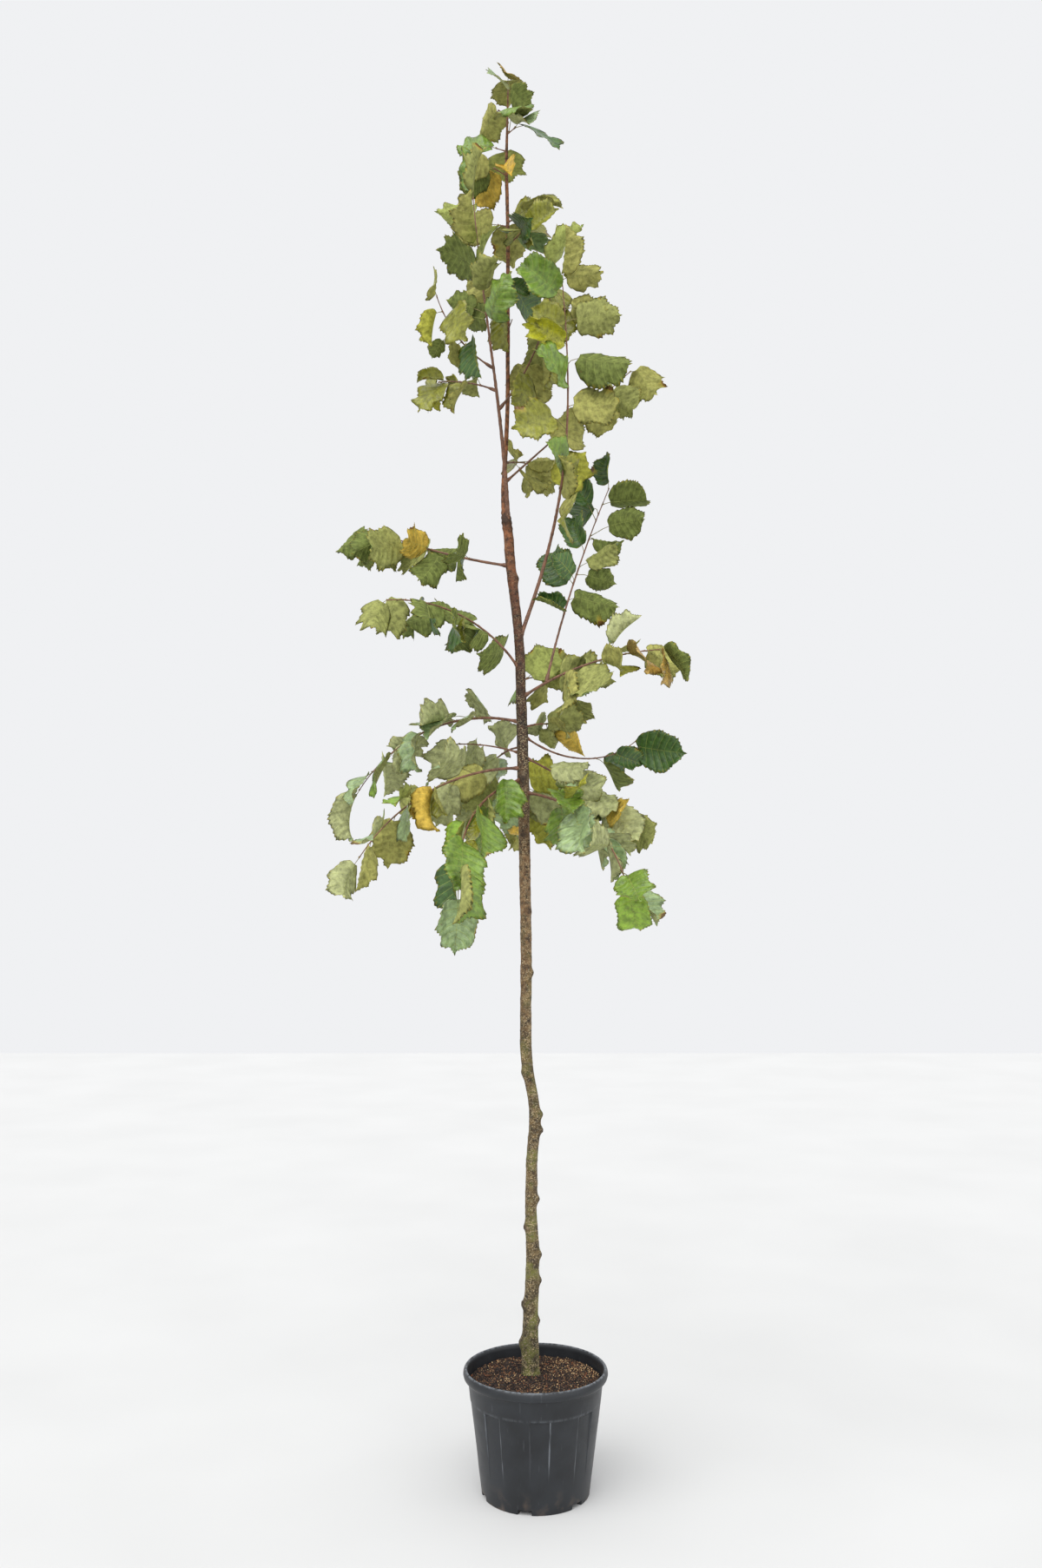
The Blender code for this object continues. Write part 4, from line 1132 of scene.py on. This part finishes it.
# A step is half the way from one vein to the next.  It has two rows of points,
# one through a tooth and one through the gap after it.
STEPS = 2 * VEINS + 1
VEIN_ROWS = 4
BLADE_ROWS = VEIN_ROWS * VEINS + 1
BLADE_COLUMNS = np.array([1, 0.8, 0.42, 0, -0.42, -0.8, -1])
BLADE_END = 0.93
# Places along the blade and its half width there, from the heart to the tip.
EDGE = ((-0.06, 0.14), (0.0, 0.26), (0.10, 0.36), (0.24, 0.42), (0.48, 0.46), (0.66, 0.46), (0.77, 0.40),
        (0.86, 0.25), (0.93, 0.09), (1.0, 0.0))
VEIN_REACH = 0.30
HEART = 0.06
PLEAT = 0.022
MIDRIB_SINK = 0.006
BLADE_THICKNESS = 0.0005
RIB_WIDTH = 0.0006
RIB_HEIGHT = 0.0006
RIB_RISE = 0.00015
# How far a leaf may stray.  Teeth, lobes and bites are in units of one tooth,
# lobes and bites run over so many steps, rolls and curls are in radians.
TOOTH = 0.036
TEETH = (0.0, 1.3)
SMALL_TOOTH = 0.6
GAP_SHARE = -0.5
LOBE_RISE, LOBE_STEPS = (0.5, 2.0), (3.6, 8.0)
BITE_CHANCE, BITE_DEPTH, BITE_STEPS = 0.35, (1.2, 3.6), 0.9
ROLL_CHANCE, ROLLED, FLAT = 0.36, (1.0, 2.7), (-0.9, 1.0)
WAVE, WAVES = (0.015, 0.07), (1.4, 3.4)
TIP_CURL = (-1.4, 3.0)
SCORCH = (0, 0, 0, 0.6, 1.6)
SCORCH_FIRST = 5
TOOTH_WEAR = 0.34
# The light band on a vein: its half width in rows, how many rows the half
# width of a blade would measure, and how light it is.
VEIN_BAND = 0.6
MIDRIB_ROWS = 14.0
VEIN_LIGHT = 0.10
# How much of its colour a leaf has in its darkest and its lightest clouds.
DARK_CLOUD, LIGHT_CLOUD = 0.68, 1.50
# Each tint's upper and under side.
TINTS = {
    "deep_green": ("3d5a26", "636d37"),
    "blue_green": ("829667", "9a9e70"),
    "mid_green": ("657f2d", "878a50"),
    "olive_green": ("80812d", "918f50"),
    "bright_green": ("7b9a31", "8f9752"),
    "yellow_green": ("a0a02a", "99983c"),
    "yellow": ("c6a432", "b89b42"),
    "ochre": ("a38440", "96804b"),
}
# Each tone's sprays, and the weights of the tints in their order.  The other
# sprays are fresh above three metres and cool below.
TONES = {
    "cool": ("", (0.06, 0.56, 0.20, 0.08, 0.04, 0.03, 0.02, 0.01)),
    "dull": ("middle_right behind_right inner_right", (0.03, 0.50, 0.14, 0.22, 0.04, 0.04, 0.02, 0.01)),
    "olive": ("long_right diagonal_right back_high", (0.15, 0.00, 0.24, 0.52, 0.02, 0.04, 0.02, 0.01)),
    "fresh": ("left_leader fork_twig", (0.12, 0.06, 0.24, 0.36, 0.12, 0.06, 0.03, 0.01)),
    "dark": ("upright_right far_right", (0.84, 0.04, 0.12, 0.0, 0.0, 0.0, 0.0, 0.0)),
    "bright": ("front_left low_right", (0.04, 0.50, 0.22, 0.0, 0.22, 0.02, 0.0, 0.0)),
    "shady": ("upper_left second_left", (0.56, 0.03, 0.21, 0.10, 0.02, 0.02, 0.04, 0.02)),
    "turning": ("fourth_left", (0.04, 0.62, 0.06, 0.08, 0.03, 0.04, 0.10, 0.03)),
    "ripe": ("left_twig_low left_twig_high", (0.04, 0.06, 0.20, 0.44, 0.04, 0.07, 0.12, 0.03)),
    "dusty": ("third_left fifth_left", (0.03, 0.80, 0.07, 0.04, 0.02, 0.01, 0.02, 0.01)),
}
SPRAY_TONES = {spray: tone for tone, (sprays, _) in TONES.items() for spray in sprays.split()}
Wild = namedtuple("Wild", "teeth rolls wave waves phase tip spot")


def draw_wild(chance):
    """How one leaf strays from its plain form: teeth, rolled margins, waves, tip and scorch.

    Large teeth stand out at the veins and smaller ones midway, with gaps as
    deep as the teeth beside them are high; lobes are a sine over the steps
    and bites a bell round one of them, each side on its own.
    """
    drawn = np.array([[chance.uniform(*TEETH) for _ in range(2)] for _ in range(STEPS)])
    drawn[1::2] *= SMALL_TOOTH
    teeth = np.empty((BLADE_ROWS, 2))
    teeth[::2] = drawn
    teeth[1::2] = GAP_SHARE * (drawn[:-1] + drawn[1:]) / 2
    steps = np.arange(BLADE_ROWS) / 2
    lobes = [[chance.uniform(*LOBE_RISE), chance.uniform(*LOBE_STEPS), chance.random()] for _ in range(2)]
    bites = [[chance.uniform(*BITE_DEPTH) * (chance.random() < BITE_CHANCE), chance.uniform(4, STEPS)]
             for _ in range(2)]
    for k, (rise, gap, phase) in enumerate(lobes):
        teeth[:, k] += rise * np.sin(math.tau * (steps / gap + phase))
    for k, (depth, step) in enumerate(bites):
        teeth[:, k] -= depth * bell((steps - step) / BITE_STEPS)
    rolls = [chance.uniform(*ROLLED) if chance.random() < ROLL_CHANCE else chance.uniform(*FLAT)
             for _ in range(2)]
    margins = (0, len(BLADE_COLUMNS) - 1)
    spot = (chance.randrange(SCORCH_FIRST, STEPS), chance.choice(margins), chance.choice(SCORCH))
    return Wild(teeth * TOOTH, np.array(rolls), chance.uniform(*WAVE), chance.uniform(*WAVES),
                chance.random(), chance.uniform(*TIP_CURL), spot)


def blade_grid(leaf, wild):
    """The upper side of a blade on a grid, the way each of its points faces, and its tip.

    A row starts at a share of the midrib and runs out and forwards to the
    margin, along a vein on every fourth row, between veins on the others.  Across,
    each half is an arc that starts at the fold and turns by the roll; along,
    the midrib falls by the droop and curls at its tip.  Pleats and waves lie
    on top of that.
    """
    share = np.linspace(0, BLADE_END, BLADE_ROWS)[:, None]
    out = np.abs(BLADE_COLUMNS)[None, :]
    hand = np.sign(BLADE_COLUMNS)[None, :]
    left = (BLADE_COLUMNS < 0).astype(int)
    along = share + VEIN_REACH * np.sin(math.pi * share) ** 0.8 * (1 - 0.55 * share)
    along -= HEART * (1 - share) ** 5
    half = np.interp(along, *np.array(EDGE).T)
    teeth = wild.teeth[:, left] * np.clip((1.05 - share) * 2.2, 0.25, 1) * out ** 6
    width = half * out + teeth
    forward = share + (along - share) * out ** 1.2 + 0.6 * teeth
    turn = wild.rolls[left][None, :] * (0.45 + 0.75 * share) * out + 1e-6
    aside = width * (np.sin(leaf.fold + turn) - math.sin(leaf.fold)) / turn
    rise = width * (math.cos(leaf.fold) - np.cos(leaf.fold + turn)) / turn
    fine = np.linspace(-0.1, 1.1, 61)
    bend = leaf.droop * fine + wild.tip * np.clip(fine - 0.5, 0, None) ** 2
    ahead = np.cumsum(np.cos(bend)) * (fine[1] - fine[0])
    below = np.cumsum(np.sin(bend)) * (fine[1] - fine[0])
    ahead -= np.interp(0, fine, ahead)
    below -= np.interp(0, fine, below)
    pleats = -PLEAT * np.cos(math.tau / VEIN_ROWS * np.arange(BLADE_ROWS))[:, None]
    waves = wild.wave * np.sin(math.tau * (wild.waves * share + wild.phase + 0.22 * hand))
    rise = rise + pleats * out ** 0.6 * (1 - out ** 5) + waves * out ** 2 - MIDRIB_SINK * (out == 0)
    lean = np.interp(forward, fine, bend)[..., None]
    lift = leaf.face * np.cos(lean) + leaf.axis * np.sin(lean)
    middle = leaf.axis * np.interp(forward, fine, ahead)[..., None]
    middle = middle - leaf.face * np.interp(forward, fine, below)[..., None]
    points = middle + np.cross(leaf.face, leaf.axis) * (aside * hand)[..., None] + lift * rise[..., None]
    facing = np.cross(np.gradient(points, axis=1), np.gradient(points, axis=0))
    facing /= np.linalg.norm(facing, axis=-1)[..., None]
    tip = leaf.axis * np.interp(1.03, fine, ahead) - leaf.face * np.interp(1.03, fine, below)
    return leaf.root + leaf.length * points, facing, leaf.root + leaf.length * tip


def blade_surface(leaf, wild):
    """A thin closed blade: rings over its top and back below, each face's side, each point's marks.

    The fields below are split along the same lines as those above them, so
    that the two sides never cross.  The wear falls off like a bell round the
    scorched place, and is never less than slight at the teeth.  Row and out
    say where a point is: which row, and which share of the half width.
    """
    top, facing, tip = blade_grid(leaf, wild)
    thick = BLADE_THICKNESS * (1 - np.abs(BLADE_COLUMNS) ** 4)
    under = top - facing * thick[:, None]
    around = np.arange(2 * len(BLADE_COLUMNS) - 2)
    below = (around >= len(BLADE_COLUMNS) - 1).astype(int)
    surface = skin(np.concatenate([top, under[:, -2:0:-1]], 1), tip, below == 1)
    kinds = np.tile(below, 2 * (BLADE_ROWS - 1) + 2)
    step, column, strength = wild.spot
    columns = np.minimum(around, len(around) - around)
    rows = np.arange(BLADE_ROWS)[:, None]
    out = np.abs(BLADE_COLUMNS[columns])
    wear = strength * np.exp(-((rows / 2 - step) ** 2 + (1.5 * (columns - column)) ** 2) / 1.5)
    wear = np.clip(np.maximum(wear, TOOTH_WEAR * (rows % 2 == 0) * (out == 1)), 0, 1)
    return surface, kinds, {
        "wear": np.append(wear, (0, TOOTH_WEAR)),
        "row": np.append(rows + 0 * out, (0, BLADE_ROWS)),
        "out": np.append(out + 0 * rows, (0, 0)),
    }


def rib_surface(path, facing, width):
    """A vein: a three sided rib along a path, narrower to its end, flat above and deep below."""
    across = np.cross(facing, np.gradient(path, axis=0))
    across /= np.linalg.norm(across, axis=1)[:, None]
    taper = np.linspace(1, 0.45, len(path))[:, None]
    base = path + facing * RIB_RISE
    low = path - facing * (BLADE_THICKNESS + RIB_HEIGHT * taper)
    return skin(np.stack([base - across * width * taper, low, base + across * width * taper], 1))


def vein_surface(leaf, wild):
    """The midrib and the pairs of side veins of one blade, which end just short of its margin."""
    top, facing, _ = blade_grid(leaf, wild)
    middle = len(BLADE_COLUMNS) // 2
    parts = [rib_surface(top[:, middle], facing[:, middle], 1.5 * RIB_WIDTH)]
    for row in range(0, BLADE_ROWS - 1, VEIN_ROWS):
        for side in (slice(middle, None), slice(middle, None, -1)):
            path = top[row, side].copy()
            path[-1] += 0.12 * (path[-2] - path[-1])
            parts.append(rib_surface(path, facing[row, side], RIB_WIDTH))
    return joined(parts)


def leaf_skin(name, code, roughness, shine):
    """Leaf skin, waxy and satin above, downy and matt below.

    The eye sees green in lighter and darker clouds, lighter along the veins,
    brown specks, and yellow, then brown, eating in raggedly from the teeth
    and from scorched places.  The light band on a vein 1 mm wide is drawn
    4 mm wide, and the meshes between the finest veins, 3 to 5 mm wide, as a
    crinkle of 6.5 mm, so that they show.
    """
    finish, tree, place = new_finish(name)
    clouds = add_node(tree, "TexNoise", {"Vector": place, "Scale": cells(15), "Detail": 6,
                                         "Roughness": 0.65})
    specks = add_node(tree, "TexNoise", {"Vector": place, "Scale": cells(7), "Detail": 4})
    crinkle = add_node(tree, "TexNoise", {"Vector": place, "Scale": cells(6.5), "Detail": 3})
    worn = add_node(tree, "Attribute", out="Fac", attribute_name="wear")
    ragged = add_node(tree, "Math", {0: clouds, 1: 0.6, 2: worn}, operation="MULTIPLY_ADD")
    row = add_node(tree, "Attribute", out="Fac", attribute_name="row")
    out = add_node(tree, "Attribute", out="Fac", attribute_name="out")
    off_vein = add_node(tree, "Math", {
        0: add_node(tree, "Math", {0: row, 1: VEIN_ROWS / 2}, operation="PINGPONG"),
        1: add_node(tree, "Math", {0: out, 1: MIDRIB_ROWS}, operation="MULTIPLY"),
    }, operation="MINIMUM")
    band = add_node(tree, "Math", {0: off_vein, 1: -1 / VEIN_BAND, 2: 1.0},
                    operation="MULTIPLY_ADD", use_clamp=True)
    light = add_node(tree, "Math", {0: band, 1: VEIN_LIGHT, 2: clouds}, operation="MULTIPLY_ADD")
    base = add_node(tree, "ValToRGB", {"Fac": light}, ((0.36, code, DARK_CLOUD), (0.64, code, LIGHT_CLOUD)))
    return finished(finish, {
        "Base Color": layered(tree, base, (
            ("6b4a2c", (specks, 0.69, 0.76, 0, 0.6)),
            ("a8953a", (ragged, 0.42, 0.62, 0, 0.8)),
            ("6f4c2a", (ragged, 0.62, 0.78, 0, 0.9)),
        )),
        "Roughness": roughness,
        "Specular IOR Level": shine,
        "Normal": add_node(tree, "Bump", {"Height": crinkle, "Strength": 0.8, "Distance": 0.0018}),
    })


dealt = {tint: [] for tint in TINTS}
ribs = []
for spray in SHOOTS:
    looks = random.Random(SHOOTS[spray].seed + 900)
    _, weights = TONES[SPRAY_TONES.get(spray, "fresh" if SHOOTS[spray].spring > 3 else "cool")]
    for leaf in LEAVES[spray]:
        wild = draw_wild(looks)
        dealt[looks.choices(list(TINTS), weights)[0]].append((spray, blade_surface(leaf, wild)))
        ribs.append(vein_surface(leaf, wild))
for tint, blades in dealt.items():
    if blades:
        upper_code, under_code = TINTS[tint]
        skins = [leaf_skin(f"upper_skin_{tint}", upper_code, 0.32, 0.5),
                 leaf_skin(f"under_skin_{tint}", under_code, 0.70, 0.15)]
        surfaces, sides, marks = zip(*(blade for _, blade in blades))
        leaves = new_piece(f"leaves_{tint}", joined(surfaces), skins, np.concatenate(sides),
                           **{mark: np.concatenate([one[mark] for one in marks]) for mark in marks[0]})
        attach(leaves, "root")
        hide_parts(*sorted({f"foliage_{spray}" for spray, _ in blades}))
veins = new_piece("leaf_veins", joined(ribs), [leaf_skin("vein_skin", "7e8448", 0.65, 0.2)])
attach(veins, "root")


# Catkins
# Next spring's male flowers hang in pairs from a few twigs: blunt pale
# yellow green tassels 25 mm long, of overlapping scales round a thin axis.

CATKIN_LENGTH = 0.025
CATKIN_SHARES = (0.0, 0.25, 0.35, 0.85, 1.0)
CATKIN_STRAY = 0.35
CATKIN_CLEAR = 0.006
CATKIN_AXIS_RADIUS = 0.0007
CATKIN_RADIUS = 0.0024
CATKIN_START = 0.22
CATKIN_SCALES = 11
CATKIN_SIDES = 14
SCALE_RISE = 0.13


def grow_catkins(name, chance, leaves):
    """Catkins in pairs that hang from one place of the stem, where there is room."""
    shoot = SHOOTS[name]
    leafy = ROUTES[name][round(shoot.bare / STEP):]
    limbs, radii, stems = surroundings(name)
    grown = []
    for k in range(shoot.catkins):
        for _ in range(TRIES):
            foot = grown[-1][0] if k % 2 else leafy[chance.randrange(1, len(leafy) - 1)]
            lean = np.array([chance.gauss(0, CATKIN_STRAY), chance.gauss(0, CATKIN_STRAY), 0.0])
            length = CATKIN_LENGTH * chance.uniform(*BLADE_SHARE)
            points = foot + np.outer(CATKIN_SHARES, unit(lean - UP)) * length
            if (
                spacing(points[2:], ROUTES[name]).min() > CATKIN_CLEAR
                and (spacing(points, limbs) >= radii + STALK_CLEAR).all()
                and in_space(points, leafy, stems)
                and all(spacing(points, tested_points(leaf)).min() > CATKIN_CLEAR for leaf in leaves)
                and all(spacing(points[3:], other[3:]).min() > CATKIN_CLEAR for other in grown)
            ):
                grown.append(points)
                break
        else:
            return grown
    return grown


def catkin_surface(points):
    """A catkin: a thin stalk, then a blunt cylinder whose scales stand out in spiral rows."""
    share = np.linspace(0, 1, 44)
    path = points[0] + np.outer(share, points[-1] - points[0])
    body = np.clip((share - CATKIN_START) / (1 - CATKIN_START), 0, 1)
    swell = (CATKIN_RADIUS - CATKIN_AXIS_RADIUS) * np.sin(math.pi * body) ** 0.35 * (body > 0)
    surface, faces = tube(path, CATKIN_AXIS_RADIUS + swell, CATKIN_SIDES)
    rings = surface[:-2].reshape(len(share), CATKIN_SIDES, 3)
    around = np.arange(CATKIN_SIDES)[None, :] / CATKIN_SIDES
    spiral = np.sin(math.tau * (body[:, None] * CATKIN_SCALES + 3 * around))
    rings += (rings - path[:, None]) * (SCALE_RISE * spiral * (body[:, None] > 0.04))[..., None]
    surface[:-2] = rings.reshape(-1, 3)
    return surface, faces


hung = [points for name in SHOOTS for points in grow_catkins(name, CHANCES[name], LEAVES[name])]
if hung:
    catkins = new_piece("catkins", joined([catkin_surface(points) for points in hung]),
                        [young_bark("catkin_scales", "a3a05a", "c2bd7c", 0.7)])
    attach(catkins, "root")
